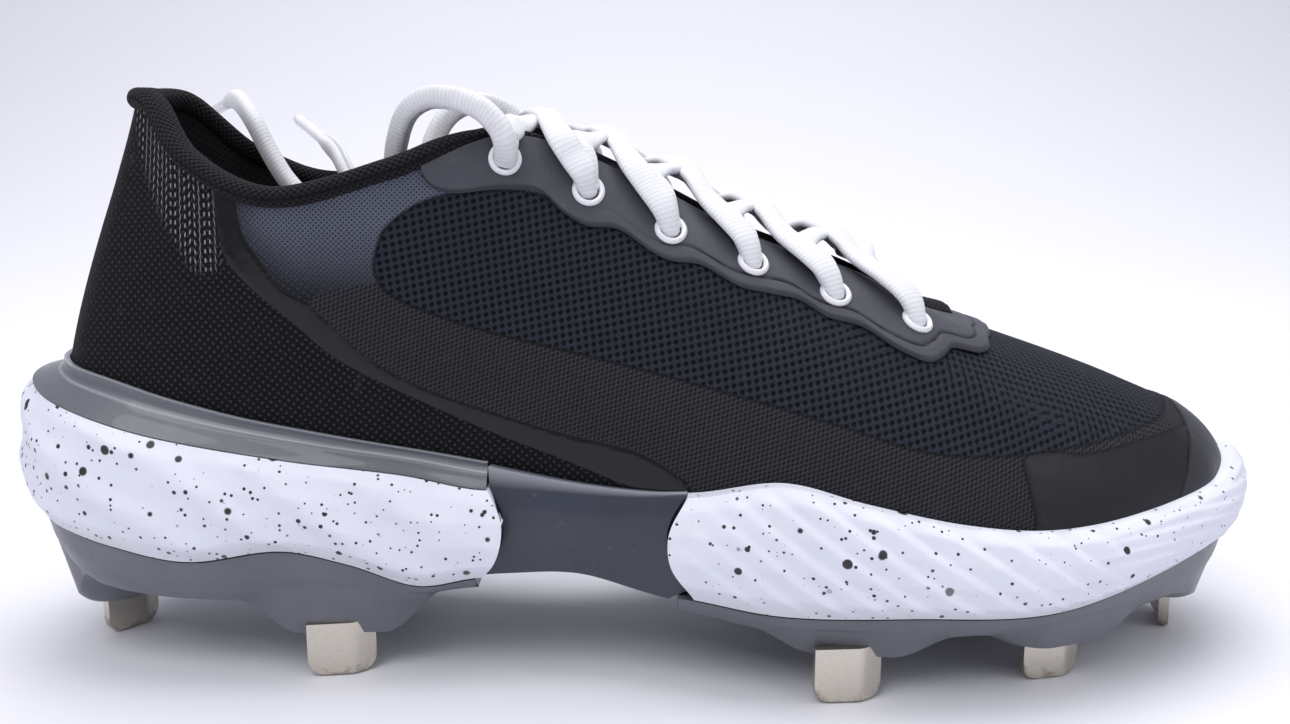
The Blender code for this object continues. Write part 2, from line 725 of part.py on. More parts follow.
def make_insole(material):
    inset = UPPER_WALL + 2 * CLEARANCE

    def maker(up, extra):
        def level(x):
            return footbed(x) + up
        return lambda station: outline_point(station, feather_inset(station) + inset + extra, level)

    makers = [maker(CLEARANCE, 0.0), maker(CLEARANCE + 0.7 * INSOLE_THICKNESS, 0.0003),
              maker(CLEARANCE + INSOLE_THICKNESS, 0.0015)]
    return slab("insole", makers, [None] * 3, [None] * 3, material)


def share_below(station, distance):
    """How far up the wall a line a distance below the edge of the throat lies."""
    edge = surface(station, 1.0)
    low, high = 0.3, 1.0
    for _ in range(18):
        middle = 0.5 * (low + high)
        if np.linalg.norm(surface(station, middle) - edge) > distance:
            low = middle
        else:
            high = middle
    return 0.5 * (low + high)


def place_below(station, distance):
    """A place on the upper, as a station and a share, a distance below the throat's edge."""
    return station, share_below(station, distance)


def eyelet_places(inner_side):
    """The places of one side's eyelets, from the collar down."""
    places = []
    for eyelet in EYELETS:
        distance = eyelet["below"] * EYELET_MARGIN
        low, high = 4.5, float(TOE)
        for _ in range(24):
            middle = 0.5 * (low + high)
            if surface(*place_below(middle, distance))[0] < eyelet["along"] * LENGTH:
                low = middle
            else:
                high = middle
        station = 0.5 * (low + high)
        places.append(place_below(ROUND - station if inner_side else station, distance))
    return places


def disc_frame(place):
    """Centre, normal, up and side of a flat ring that lies on the upper at a place."""
    station, share = place
    centre = surface(station, share)
    normal = outward(station, share)
    up = surface(station, min(1.0, share + 0.02)) - surface(station, share - 0.02)
    up -= normal * np.dot(up, normal)
    up /= np.linalg.norm(up)
    return centre, normal, up, np.cross(up, normal)


def turned_ring(name, frame, profile, sides, material, closed=True):
    """A profile of (radius, height) pairs turned round a frame's normal."""
    centre, normal, up, side = frame
    points = []
    for i in range(sides):
        angle = 2 * math.pi * i / sides
        arm = up * math.cos(angle) + side * math.sin(angle)
        points.extend(centre + arm * radius + normal * rise for radius, rise in profile)
    size = len(profile)
    faces = []
    for i in range(sides):
        j = (i + 1) % sides
        for k in range(size if closed else size - 1):
            n = (k + 1) % size
            faces.append((i * size + k, j * size + k, j * size + n, i * size + n))
    if not closed:
        faces.append(tuple(i * size for i in range(sides)))
        faces.append(tuple(i * size + size - 1 for i in range(sides)))
    return make_object(name, points, faces, material)


def make_eyelets(material, cutter_material, cut_objects):
    """White rings on the eyestays, and the holes through eyestay and upper under them."""
    lift = OVERLAY_THICKNESS + 2.5 * CLEARANCE
    profile = [(EYELET_HOLE, lift), (EYELET_OUTER, lift), (EYELET_OUTER - 0.0004, lift + EYELET_DEPTH),
               (EYELET_HOLE + 0.0003, lift + EYELET_DEPTH)]
    reach = 3 * UPPER_WALL
    drill = [(EYELET_HOLE + 0.0001, -reach), (EYELET_HOLE + 0.0001, reach)]
    for side, inner_side in (("lateral", False), ("medial", True)):
        for number, place in enumerate(eyelet_places(inner_side), 1):
            frame = disc_frame(place)
            turned_ring("eyelet_%s_%d" % (side, number), frame, profile, 8, material)
            hole = turned_ring("hole_%s_%d" % (side, number), frame, drill, 6, cutter_material, closed=False)
            for target in cut_objects[side]:
                apply_boolean(target, hole, "DIFFERENCE")


def make_tongue(material):
    """A padded sheet under the throat: wings inside the upper, a crown between its edges."""
    depth = -(UPPER_WALL + 2 * CLEARANCE)
    crown_height = 0.0035
    along = grid_between(*TONGUE_SPAN)
    count = len(along)
    grids = []
    for layer in (0.0, -TONGUE_THICKNESS):
        grid = []
        for station in along:
            wing = 0.24 if station < 9.5 else 0.18
            shares = [1.0 - wing, 1.0 - 0.5 * wing, 1.0]
            outer = [off_surface(station, share, depth + layer) for share in shares]
            inner = [off_surface(ROUND - station, share, depth + layer) for share in reversed(shares)]
            left, right = outer[-1], inner[0]
            middle = []
            for t in (0.25, 0.5, 0.75):
                bump = crown_height * 4 * t * (1 - t)
                middle.append(left + (right - left) * t + np.array((0.0, 0.0, bump)))
            grid.append(outer + middle + inner)
        grids.append(grid)
    wide = len(grids[0][0])
    points = [point for grid in grids for row in grid for point in row]

    def index(layer, i, j):
        return (layer * count + i) * wide + j

    faces = []
    for i in range(count - 1):
        for j in range(wide - 1):
            faces.append((index(0, i, j), index(0, i + 1, j), index(0, i + 1, j + 1), index(0, i, j + 1)))
            faces.append((index(1, i, j), index(1, i, j + 1), index(1, i + 1, j + 1), index(1, i + 1, j)))
        for j in (0, wide - 1):
            faces.append((index(0, i, j), index(0, i + 1, j), index(1, i + 1, j), index(1, i, j)))
    for i in (0, count - 1):
        for j in range(wide - 1):
            faces.append((index(0, i, j), index(0, i, j + 1), index(1, i, j + 1), index(1, i, j)))
    return make_object("tongue", points, faces, material)


def tube(name, path, wide, thick, sides, material, up_hint=(0.0, 0.0, 1.0)):
    """A flattened tube along a path, wide across it and thick along the hint."""
    points = []
    path = [np.array(point, dtype=float) for point in path]
    for i, point in enumerate(path):
        ahead = path[min(i + 1, len(path) - 1)] - path[max(i - 1, 0)]
        ahead /= np.linalg.norm(ahead)
        hint = np.array(up_hint[i] if isinstance(up_hint, list) else up_hint, dtype=float)
        up = hint - ahead * np.dot(hint, ahead)
        up /= np.linalg.norm(up)
        side = np.cross(ahead, up)
        for k in range(sides):
            angle = 2 * math.pi * (k + 0.5) / sides
            points.append(point + side * 0.5 * wide * math.cos(angle) + up * 0.5 * thick * math.sin(angle))
    faces = []
    for i in range(len(path) - 1):
        for k in range(sides):
            n = (k + 1) % sides
            faces.append((i * sides + k, i * sides + n, (i + 1) * sides + n, (i + 1) * sides + k))
    faces.append(tuple(range(sides)))
    faces.append(tuple((len(path) - 1) * sides + k for k in range(sides)))
    return make_object(name, points, faces, material)


def make_collar(material):
    """The padded roll along the edge of the collar, from one side of the throat round the heel."""
    path, hints = [], []
    for station in grid_between(*COLLAR_SPAN):
        edge = off_surface(station % ROUND, 1.0, -0.5 * UPPER_WALL)
        up = surface(station % ROUND, 1.0) - surface(station % ROUND, 0.97)
        up /= np.linalg.norm(up)
        path.append(edge + up * (0.5 * COLLAR_ROLL + 1.5 * CLEARANCE))
        hints.append(up)
    return tube("collar", path, 1.25 * COLLAR_ROLL, COLLAR_ROLL, 8, material, hints)


def lace_lift():
    return OVERLAY_THICKNESS + EYELET_DEPTH + 6 * CLEARANCE + 0.5 * LACE_THICKNESS


def make_lace_crossings(material):
    """Criss-cross bars from each eyelet to the next one up on the other side, joined where they meet."""
    lateral, medial = eyelet_places(False), eyelet_places(True)

    def bar(name, start, stop, to_eyelet=True):
        """Runs over both edges of the throat and the tongue's crown between them."""
        from_outer = start[0] < TOE
        side_a, side_b = (min(place[0], ROUND - place[0]) for place in (start, stop))
        near = side_a + (side_b - side_a) * LACE_LEAVES
        far = side_a + (side_b - side_a) * (LACE_LANDS if to_eyelet else LACE_HALFWAY)
        near, far = (near, ROUND - far) if from_outer else (ROUND - near, far)
        edge_a = off_surface(near, 1.0, lace_lift())
        edge_b = off_surface(far, 1.0, lace_lift())
        middle = 0.5 * (edge_a + edge_b)
        middle[2] += LACE_CROWN
        over = off_surface(stop[0], stop[1] + LACE_TUCK, lace_lift() + LACE_OVERLAP)
        path = [off_surface(*start, lace_lift()), edge_a, middle, edge_b, over]
        hints = [outward(*start), outward(near, 1.0), np.array((0.0, 0.0, 1.0)), outward(far, 1.0),
                 outward(*stop)]
        if not to_eyelet:
            path, hints = path[:-1], hints[:-1]
        return tube(name, path, LACE_WIDTH, LACE_THICKNESS, 6, material, hints)

    bars = []
    for k in range(len(EYELETS) - 1, 0, -1):
        bars.append(bar("lace_bar_%d_a" % k, lateral[k], medial[k - 1], k > 1))
        bars.append(bar("lace_bar_%d_b" % k, medial[k], lateral[k - 1], k > 1))
    crossings = bar("lace_crossings", lateral[-1], medial[-1])
    for piece in bars:
        apply_boolean(crossings, piece, "UNION")
    return crossings


# Free lace ends, drawn in millimetres for a shoe of these sizes and scaled with the shoe's own:
# x from the heel, y from the middle of the foot, z above the floor
DRAWN_LENGTH, DRAWN_BALL_WIDTH, DRAWN_INSTEP_HEIGHT = 300.0, 104.0, 124.0
LACE_END_LATERAL = [
    (120.2, -27.2, 118.4), (119.8, -27.9, 121.6), (118.0, -27.8, 125.2), (114.0, -26.2, 128.6),
    (108.0, -24.2, 130.5), (102.0, -21.0, 130.4), (97.0, -18.0, 127.0), (94.0, -15.0, 120.0),
    (92.0, -11.0, 111.0), (88.5, -6.0, 103.0), (83.0, 0.0, 97.5), (77.0, 6.0, 96.5), (70.5, 11.5, 100.0),
    (65.0, 15.0, 105.5), (60.0, 16.6, 111.0), (56.0, 17.8, 117.5), (52.2, 19.4, 124.6),
    (48.0, 24.3, 129.0), (45.0, 28.6, 130.2), (42.0, 32.6, 129.4),
]
LACE_END_MEDIAL = [
    (120.2, 26.0, 117.8), (119.8, 27.2, 120.6), (118.0, 27.6, 124.0), (114.0, 26.0, 127.6),
    (108.0, 22.5, 129.4), (102.0, 18.5, 127.0), (98.0, 16.0, 121.0), (95.5, 14.5, 112.0),
    (91.5, 15.0, 104.5), (86.0, 17.0, 100.5), (80.5, 19.0, 102.5), (76.5, 21.3, 108.0),
    (73.5, 24.2, 112.7), (70.8, 28.0, 116.4), (68.0, 31.6, 118.6), (65.5, 35.0, 120.0),
]


def smooth_route(points, step):
    """A smooth curve through the route's own points, read at even steps."""
    route = np.array(points, dtype=float)
    fine = []
    for k in range(len(route) - 1):
        a = route[max(k - 1, 0)]
        d = route[min(k + 2, len(route) - 1)]
        for i in range(12):
            fine.append(smooth(a, route[k], route[k + 1], d, i / 12))
    fine.append(route[-1])
    fine = np.array(fine)
    gone = np.concatenate(([0.0], np.cumsum(np.linalg.norm(np.diff(fine, axis=0), axis=1))))
    count = max(4, int(round(gone[-1] / step)) + 1)
    marks = np.linspace(0.0, gone[-1], count)
    return np.stack([np.interp(marks, gone, fine[:, axis]) for axis in range(3)], axis=1)


def make_lace_end(name, drawn_points, material):
    scale = (LENGTH / DRAWN_LENGTH, BALL_WIDTH / DRAWN_BALL_WIDTH, INSTEP_HEIGHT / DRAWN_INSTEP_HEIGHT)
    points = [tuple(value * factor for value, factor in zip(point, scale)) for point in drawn_points]
    route = smooth_route(points, 2.5 * LACE_END_DIAMETER)
    curve = bpy.data.curves.new(name, "CURVE")
    curve.dimensions = "3D"
    curve.bevel_depth = 0.5 * LACE_END_DIAMETER
    curve.bevel_resolution = 2
    curve.use_fill_caps = True
    spline = curve.splines.new("POLY")
    spline.points.add(len(route) - 1)
    for place, point in zip(spline.points, route):
        place.co = (*point, 1.0)
    curve.materials.append(material)
    thing = bpy.data.objects.new(name, curve)
    bpy.context.collection.objects.link(thing)
    return thing, route


def make_aglet(name, route, material):
    ahead = route[-1] - route[-2]
    ahead /= np.linalg.norm(ahead)
    start = route[-1] + ahead * CLEARANCE
    path = [start, start + ahead * 0.5 * AGLET_LENGTH, start + ahead * AGLET_LENGTH]
    return tube(name, path, AGLET_DIAMETER, AGLET_DIAMETER, 8, material)


def eyestay_rows(station):
    """Eyestay film: from a little below the eyelets up to the throat's edge."""
    low = share_below(station, read_line(EYESTAY_EDGE, min(station, ROUND - station)) * EYESTAY_WIDTH)
    high = 0.985
    return [low + (high - low) * i / 5 for i in range(6)]


def toe_guard_rows(station):
    """Toe guard: from the foam rim up to a line round the front of the toe."""
    low = share_at_height(station, foam_rim(surface(station, 0.0)[0]) + 0.0006)
    from_tip = abs(station - TOE) / TOE_GUARD_REACH
    high = low + 0.30 + 0.10 * (1 - from_tip * from_tip)
    return [low + (high - low) * i / 4 for i in range(5)]


def centre_on_floor(widest, solids, cords):
    """Puts the middle of the sole's outline over the origin; the studs already stand at z = 0."""
    low = np.full(3, np.inf)
    high = np.full(3, -np.inf)
    for thing in widest:
        for vertex in thing.data.vertices:
            low = np.minimum(low, vertex.co)
            high = np.maximum(high, vertex.co)
    shift = -0.5 * (low + high)
    for thing in solids:
        for vertex in thing.data.vertices:
            vertex.co.x += shift[0]
            vertex.co.y += shift[1]
    for thing in cords:
        for spline in thing.data.splines:
            for point in spline.points:
                point.co.x += shift[0]
                point.co.y += shift[1]


def build():
    for thing in list(bpy.data.objects):
        bpy.data.objects.remove(thing, do_unlink=True)

    knit = make_material("black_knit", (0.012, 0.012, 0.014), 0.85)
    film = make_material("slate_film", (0.055, 0.060, 0.070), 0.55)
    guard = make_material("toe_film", (0.030, 0.031, 0.035), 0.45)
    padding = make_material("collar_knit", (0.008, 0.008, 0.010), 0.95)
    foam = make_material("white_foam", (0.82, 0.83, 0.86), 0.60)
    slate = make_material("slate_bridge", (0.050, 0.062, 0.085), 0.42)
    grey = make_material("grey_plate", (0.105, 0.110, 0.120), 0.40)
    steel = make_material("blade_steel", (0.62, 0.58, 0.52), 0.38, 0.9)
    lace = make_material("white_lace", (0.84, 0.84, 0.85), 0.80)
    ring = make_material("white_ring", (0.86, 0.86, 0.87), 0.45)
    board = make_material("insole_cloth", (0.020, 0.020, 0.022), 0.90)

    all_round = GRID + [ROUND - station for station in GRID[-2:0:-1]]
    rows = 10
    upper = shell("upper", all_round, lambda station: [i / rows for i in range(rows + 1)],
                  -UPPER_WALL, 0.0, knit, closed=True)
    eyestays = {}
    for side, inner_side in (("lateral", False), ("medial", True)):
        span = grid_between(*EYESTAY_SPAN)
        if inner_side:
            span = [ROUND - station for station in span]
        eyestays[side] = shell("eyestay_" + side, span, eyestay_rows, 1.5 * CLEARANCE,
                               1.5 * CLEARANCE + OVERLAY_THICKNESS, film)
    shell("toe_guard", grid_between(TOE - TOE_GUARD_REACH, TOE + TOE_GUARD_REACH), toe_guard_rows,
          CLEARANCE, CLEARANCE + OVERLAY_THICKNESS, guard)
    make_eyelets(ring, knit, {side: [eyestay, upper] for side, eyestay in eyestays.items()})
    make_collar(padding)
    make_tongue(padding)
    make_insole(board)
    heel_foam = make_midsole_heel(foam)
    fore_foam = make_midsole_forefoot(foam)
    bridge = make_midfoot_bridge(slate)
    make_heel_clip(grey)
    make_plate("heel_plate", None, HEEL_PLATE_REACH, HEEL_STUDS, grey)
    make_plate("forefoot_plate", FORE_PLATE_START, None, FORE_STUDS, grey)
    make_studs(steel)
    make_lace_crossings(lace)
    lateral_end, lateral_route = make_lace_end("lace_end_lateral", LACE_END_LATERAL, lace)
    medial_end, medial_route = make_lace_end("lace_end_medial", LACE_END_MEDIAL, lace)
    make_aglet("aglet_lateral", lateral_route, ring)
    make_aglet("aglet_medial", medial_route, ring)

    measured = [heel_foam, fore_foam, bridge]
    centre_on_floor(measured, [thing for thing in bpy.data.objects if thing.type == "MESH"],
                    [lateral_end, medial_end])


build()
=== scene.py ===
"""Looks of a right-foot baseball cleat: fine surfaces, materials, laces, stage and camera.

The shapes follow the same named sizes and tables as the part's source, read here with arrays. In the
shoe's own frame x runs from the heel, y from the middle of the foot and z up from the floor.
"""
import math

import bmesh
import bpy
import numpy as np
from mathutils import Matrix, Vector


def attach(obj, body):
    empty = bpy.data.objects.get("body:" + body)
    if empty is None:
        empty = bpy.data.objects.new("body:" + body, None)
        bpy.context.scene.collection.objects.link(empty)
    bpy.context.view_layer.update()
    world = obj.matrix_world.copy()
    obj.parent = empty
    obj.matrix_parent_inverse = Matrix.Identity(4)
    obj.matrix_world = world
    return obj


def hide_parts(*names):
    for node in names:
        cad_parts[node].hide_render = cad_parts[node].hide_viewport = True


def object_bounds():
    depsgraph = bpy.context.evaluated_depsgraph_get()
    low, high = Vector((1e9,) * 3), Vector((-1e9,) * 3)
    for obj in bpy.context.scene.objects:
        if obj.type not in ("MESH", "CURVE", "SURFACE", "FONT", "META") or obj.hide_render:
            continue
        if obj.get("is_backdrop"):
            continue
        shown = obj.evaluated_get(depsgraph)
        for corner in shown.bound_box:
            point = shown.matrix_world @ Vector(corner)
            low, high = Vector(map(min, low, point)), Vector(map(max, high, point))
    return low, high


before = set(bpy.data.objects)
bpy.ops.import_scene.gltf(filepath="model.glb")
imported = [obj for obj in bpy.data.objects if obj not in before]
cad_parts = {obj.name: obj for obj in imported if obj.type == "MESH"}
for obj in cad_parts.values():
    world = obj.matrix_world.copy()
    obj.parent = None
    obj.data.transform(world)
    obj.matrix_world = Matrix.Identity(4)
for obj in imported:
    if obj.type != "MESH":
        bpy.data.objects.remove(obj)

bl_info = {
    "name": "Baseball cleat looks",
    "version": (1, 0, 0),
    "blender": (4, 5, 0),
    "location": "View3D > Sidebar > Cleat",
    "description": "Dresses the solids of a baseball cleat with fine surfaces and materials",
    "category": "Object",
}

MM = 0.001

# Sizes of the shoe, in metres
LENGTH = 0.300
BALL_WIDTH = 0.104
HEEL_HEIGHT = 0.1285
INSTEP_HEIGHT = 0.124
FOOTBED_HEIGHT = 0.031
FOAM_RIM_HEIGHT = 0.048
FOAM_FOOT_HEIGHT = 0.020
BRIDGE_RIM_HEIGHT = 0.046
ARCH_HEIGHT = 0.026
CLIP_HEIGHT = 0.0615
PLATE_HEIGHT = 0.0175
BOSS_HEIGHT = 0.0095
UPPER_WALL = 0.0022
OVERLAY_THICKNESS = 0.0009
TONGUE_THICKNESS = 0.0034
TONGUE_CROWN = 0.0035
TONGUE_CHANNEL = 0.0005
TONGUE_RIPPLE = 0.0003
LOOP_WIDTH = 0.0075
LOOP_THICKNESS = 0.0016
TOE_GUARD_THICKNESS = 0.0009
GROOVE_DEPTH = 0.0005
COLLAR_SEAT = 0.0006
COLLAR_END = 6.6
HEEL_FEATHER_INSET = 0.0100
TOE_FEATHER_INSET = 0.0065
BRIDGE_INSET = 0.0050
BRIDGE_DISH = 0.0012
BRIDGE_TOP_INSET = 0.0016
BRIDGE_END_GAP = 0.0001
PLATE_EDGE_INSET = 0.0095
PLATE_END_INSET = 0.0040
PLATE_BEVEL = 0.0054
CLIP_REACH = 0.1149
CLIP_BAND = 0.0013
CLIP_CREST = 0.0006
CLIP_HOLLOW = 0.0003
CLIP_FULL_LEVEL = 0.55
HEEL_PLATE_REACH = 0.1120
FORE_PLATE_START = 0.1575
BRIDGE_SILL_REACH = 0.1553
BLADE_WIDTH = 0.0155
BLADE_THICKNESS = 0.0024
BLADE_ROOT = 0.0030
BLADE_CHAMFER = 0.00035
BLADE_FOLD_RADIUS = 0.0007
BLADE_BEND = math.radians(32)
BOSS_LENGTH = 0.032
BOSS_WIDTH = 0.016
EYELET_OUTER = 0.0037
EYELET_HOLE = 0.0024
EYELET_MARGIN = 0.0135
EYESTAY_WIDTH = 0.0240
FREE_LACE_WIDTH = 0.0052
FREE_LACE_THICKNESS = 0.0040
LACE_STAND = 0.0011
LACE_DEPTH = -0.0012
LACE_OUT = 0.0010
LACE_DOWN = 0.0014
LACE_ARCH = 0.0030
LACE_OVER = 0.0012
LACE_UNDER = -0.0002
AGLET_LENGTH = 0.018
AGLET_DIAMETER = 0.0030
CLEARANCE = 0.0003
SOLE_GAP = 0.0005

# From the shoe's own frame to the row frame: the middle of the sole's outline goes over the origin
FRAME_SHIFT = np.array((-0.1500, 0.00212, 0.0))

# Outline of the sole, heel to toe: shares of LENGTH and of BALL_WIDTH
OUTLINE = [
    dict(along=0.000, lateral=0.000, medial=0.000),
    dict(along=0.013, lateral=0.163, medial=0.163),
    dict(along=0.053, lateral=0.298, medial=0.298),
    dict(along=0.127, lateral=0.375, medial=0.365),
    dict(along=0.233, lateral=0.389, medial=0.361),
    dict(along=0.350, lateral=0.375, medial=0.322),
    dict(along=0.467, lateral=0.404, medial=0.317),
    dict(along=0.583, lateral=0.476, medial=0.385),
    dict(along=0.683, lateral=0.519, medial=0.462),
    dict(along=0.767, lateral=0.505, medial=0.481),
    dict(along=0.850, lateral=0.423, medial=0.452),
    dict(along=0.920, lateral=0.298, medial=0.370),
    dict(along=0.970, lateral=0.168, medial=0.264),
    dict(along=1.000, lateral=-0.048, medial=0.048),
]

# Edge of the collar and throat at the same stations: shares of LENGTH, BALL_WIDTH and the heights
OPENING = [
    dict(along=0.103, lateral=0.000, medial=0.000, of_heel=1.000, of_instep=0.000),
    dict(along=0.108, lateral=0.062, medial=0.062, of_heel=1.000, of_instep=0.000),
    dict(along=0.127, lateral=0.130, medial=0.130, of_heel=0.990, of_instep=0.000),
    dict(along=0.165, lateral=0.240, medial=0.235, of_heel=0.897, of_instep=0.000),
    dict(along=0.232, lateral=0.315, medial=0.300, of_heel=0.838, of_instep=0.000),
    dict(along=0.318, lateral=0.288, medial=0.270, of_heel=0.000, of_instep=0.917),
    dict(along=0.400, lateral=0.195, medial=0.185, of_heel=0.000, of_instep=0.985),
    dict(along=0.490, lateral=0.143, medial=0.138, of_heel=0.000, of_instep=0.905),
    dict(along=0.580, lateral=0.132, medial=0.132, of_heel=0.000, of_instep=0.795),
    dict(along=0.660, lateral=0.117, medial=0.120, of_heel=0.000, of_instep=0.728),
    dict(along=0.711, lateral=0.088, medial=0.096, of_heel=0.000, of_instep=0.663),
    dict(along=0.733, lateral=0.050, medial=0.068, of_heel=0.000, of_instep=0.642),
    dict(along=0.741, lateral=0.016, medial=0.040, of_heel=0.000, of_instep=0.639),
    dict(along=0.743, lateral=-0.012, medial=0.012, of_heel=0.000, of_instep=0.636),
]

# How the wall of the upper rises from the sole and leans over to that edge, at the same stations
WALL = [
    dict(rise=0.33, swell=0.012, lean=0.29, drop=0.27),
    dict(rise=0.33, swell=0.012, lean=0.27, drop=0.27),
    dict(rise=0.34, swell=0.012, lean=0.20, drop=0.27),
    dict(rise=0.35, swell=0.014, lean=0.10, drop=0.28),
    dict(rise=0.36, swell=0.015, lean=0.05, drop=0.28),
    dict(rise=0.36, swell=0.015, lean=0.18, drop=0.24),
    dict(rise=0.36, swell=0.012, lean=0.34, drop=0.19),
    dict(rise=0.38, swell=0.010, lean=0.36, drop=0.14),
    dict(rise=0.40, swell=0.010, lean=0.37, drop=0.11),
    dict(rise=0.43, swell=0.010, lean=0.40, drop=0.10),
    dict(rise=0.45, swell=0.010, lean=0.46, drop=0.12),
    dict(rise=0.44, swell=0.012, lean=0.54, drop=0.22),
    dict(rise=0.42, swell=0.014, lean=0.60, drop=0.31),
    dict(rise=0.42, swell=0.014, lean=0.62, drop=0.35),
]

# Side view lines of the sole: along is a share of LENGTH, up a share of the line's own height
FOOTBED_LINE = [(0.00, 1.52), (0.22, 1.50), (0.34, 1.40), (0.47, 1.22), (0.60, 1.07),
                (0.73, 1.00), (0.86, 1.05), (1.00, 1.24)]
FOAM_RIM_LINE = [(0.00, 1.40), (0.05, 1.32), (0.13, 1.20), (0.23, 1.09), (0.32, 1.01), (0.38, 0.94),
                 (0.53, 0.945), (0.60, 1.02), (0.66, 0.94), (0.73, 0.85), (0.80, 0.80),
                 (0.88, 0.82), (0.95, 0.88), (1.00, 0.98)]
FOAM_FOOT_LINE = [(0.00, 1.80), (0.05, 1.70), (0.10, 1.57), (0.16, 1.44), (0.23, 1.57), (0.28, 1.40),
                  (0.33, 1.14), (0.38, 1.24), (0.53, 1.12), (0.60, 1.00), (0.70, 1.05),
                  (0.80, 1.03), (0.88, 1.22), (0.95, 1.42), (1.00, 1.62)]
BRIDGE_RIM_LINE = [(0.35, 1.13), (0.41, 1.05), (0.46, 1.00), (0.51, 0.985), (0.56, 1.02)]
ARCH_LINE = [(0.35, 0.90), (0.40, 0.97), (0.45, 1.00), (0.50, 0.88), (0.54, 0.80)]
CLIP_LINE = [(0.00, 1.17), (0.09, 1.12), (0.15, 1.05), (0.20, 0.99), (0.25, 0.94), (0.30, 0.89),
             (0.38, 0.82)]
PLATE_LINE = [(0.00, 1.38), (0.04, 1.27), (0.08, 1.09), (0.19, 1.00), (0.30, 1.00), (0.38, 1.17),
              (0.52, 1.00), (0.60, 0.80), (0.74, 0.82), (0.86, 0.84), (0.94, 0.88), (1.00, 1.20)]
HEEL_NOSE = [(0.40, 0.364), (0.50, 0.377), (0.62, 0.390), (0.77, 0.395), (0.88, 0.390), (1.00, 0.378),
             (1.08, 0.371)]
FORE_NOSE = [(0.38, 0.545), (0.50, 0.533), (0.62, 0.520), (0.75, 0.517), (0.85, 0.522), (1.00, 0.538)]

# Sides of the layers: level from foot to rim, and inset from the outline
FOAM_SIDE = [(0.00, 0.0034), (0.16, 0.0012), (0.40, 0.0002), (0.66, 0.0006), (0.88, 0.0020), (1.00, 0.0036)]
PLATE_SIDE = [(0.00, 0.0040), (0.45, 0.0052), (0.80, 0.0072), (1.00, PLATE_EDGE_INSET)]

HEEL_STUDS = [
    dict(name="stud_heel_rear", along=0.072, across=-0.019, turn=52),
    dict(name="stud_heel_lateral", along=0.268, across=-0.300, turn=8),
    dict(name="stud_heel_medial", along=0.268, across=0.285, turn=172),
]
FORE_STUDS = [
    dict(name="stud_ball_lateral", along=0.650, across=-0.440, turn=4),
    dict(name="stud_ball_medial", along=0.650, across=0.375, turn=176),
    dict(name="stud_fore_lateral", along=0.812, across=-0.315, turn=14),
    dict(name="stud_fore_medial", along=0.812, across=0.345, turn=166),
    dict(name="stud_toe", along=0.943, across=0.020, turn=67),
]

EYELETS = [
    dict(along=0.397, below=0.41),
    dict(along=0.458, below=0.86),
    dict(along=0.519, below=1.15),
    dict(along=0.580, below=1.15),
    dict(along=0.642, below=1.22),
    dict(along=0.703, below=1.40),
]

# Lower edge of the eyestay film: station, and a share of EYESTAY_WIDTH below the throat's edge
EYESTAY_EDGE = [(5.22, 0.02), (5.28, 0.20), (5.45, 0.36), (5.85, 0.50), (6.08, 0.58), (6.18, 0.76),
                (6.32, 0.87), (6.58, 0.83), (6.76, 0.98), (6.90, 1.02), (7.15, 0.96), (7.40, 1.06),
                (7.68, 0.98), (7.95, 0.91), (8.12, 1.03), (8.42, 1.04), (8.62, 1.22), (8.88, 1.31),
                (9.12, 1.18), (9.35, 1.01), (9.75, 0.96), (10.6, 0.62), (11.6, 0.50), (13.0, 0.44)]

# Panels of the upper in side view, in millimetres of the shoe's own frame, the same on both sides
MESH_FIELD = [(92, 99), (94, 103), (101, 108), (109.5, 110.2), (121, 110.5), (128, 109.3), (133, 107),
              (145, 104), (180, 95), (215, 88), (222, 150), (284, 150), (283, 64), (281, 59.5), (274, 57.2),
              (265, 55.8), (254, 54.9), (244, 54.5), (233, 54.2), (218, 54.8), (207, 56.5), (196, 60),
              (180, 64.5), (162, 69), (140, 74), (118, 79), (104, 83.5), (96, 87), (92.5, 90), (91, 94)]
SLATE_FIELD = [(61, 140), (62, 108), (63, 101.6), (67, 95.5), (71.5, 90), (77, 87.3), (86, 85.2), (96, 83.6),
               (106, 82), (120, 95), (140, 105), (150, 140)]
STRIP_FIELD = [(56.5, 115), (57, 103.3), (58.3, 97), (62.5, 91.5), (72.3, 83), (82, 74.2), (93.7, 67.4),
               (106, 61.4), (117.5, 56.4), (131, 51.5), (143, 47), (150, 43), (161, 42), (158.5, 47.5),
               (155.5, 50.4), (147.3, 54.1), (131, 57.4), (114.3, 62.3), (100.4, 67.4), (90, 73.4),
               (79.4, 83.8), (76.5, 87), (71.2, 89.7), (67, 95.6), (63.1, 101.6), (62, 108.2), (62, 115)]
BAND_FIELD = [(77, 87.5), (84, 79), (90, 73.4), (100.4, 67.4), (114.3, 62.3), (131, 57.4), (147, 54),
              (155.5, 50), (161, 44), (163, 20), (320, 20), (320, 150), (283, 150), (240, 100), (160, 100),
              (100, 92)]
TOE_SIDE_FIELD = [(233, 53.6), (240, 54.0), (248, 52.8), (262, 53.2), (278, 53.4), (276.3, 49), (275, 45),
                  (272.8, 40), (271, 30), (252, 28), (236, 34), (234.8, 41), (233.3, 49)]
BUMPER_FIELD = [(283, 66), (280, 58), (278.4, 53), (275.5, 46), (272.8, 40), (271, 30), (271, 20), (330, 20),
                (330, 100), (284, 100)]
DASH_FIELD = [(31, 140), (33, 126), (36, 117), (40, 108), (46, 99), (51, 93), (57, 94), (57.5, 104),
              (58, 140)]

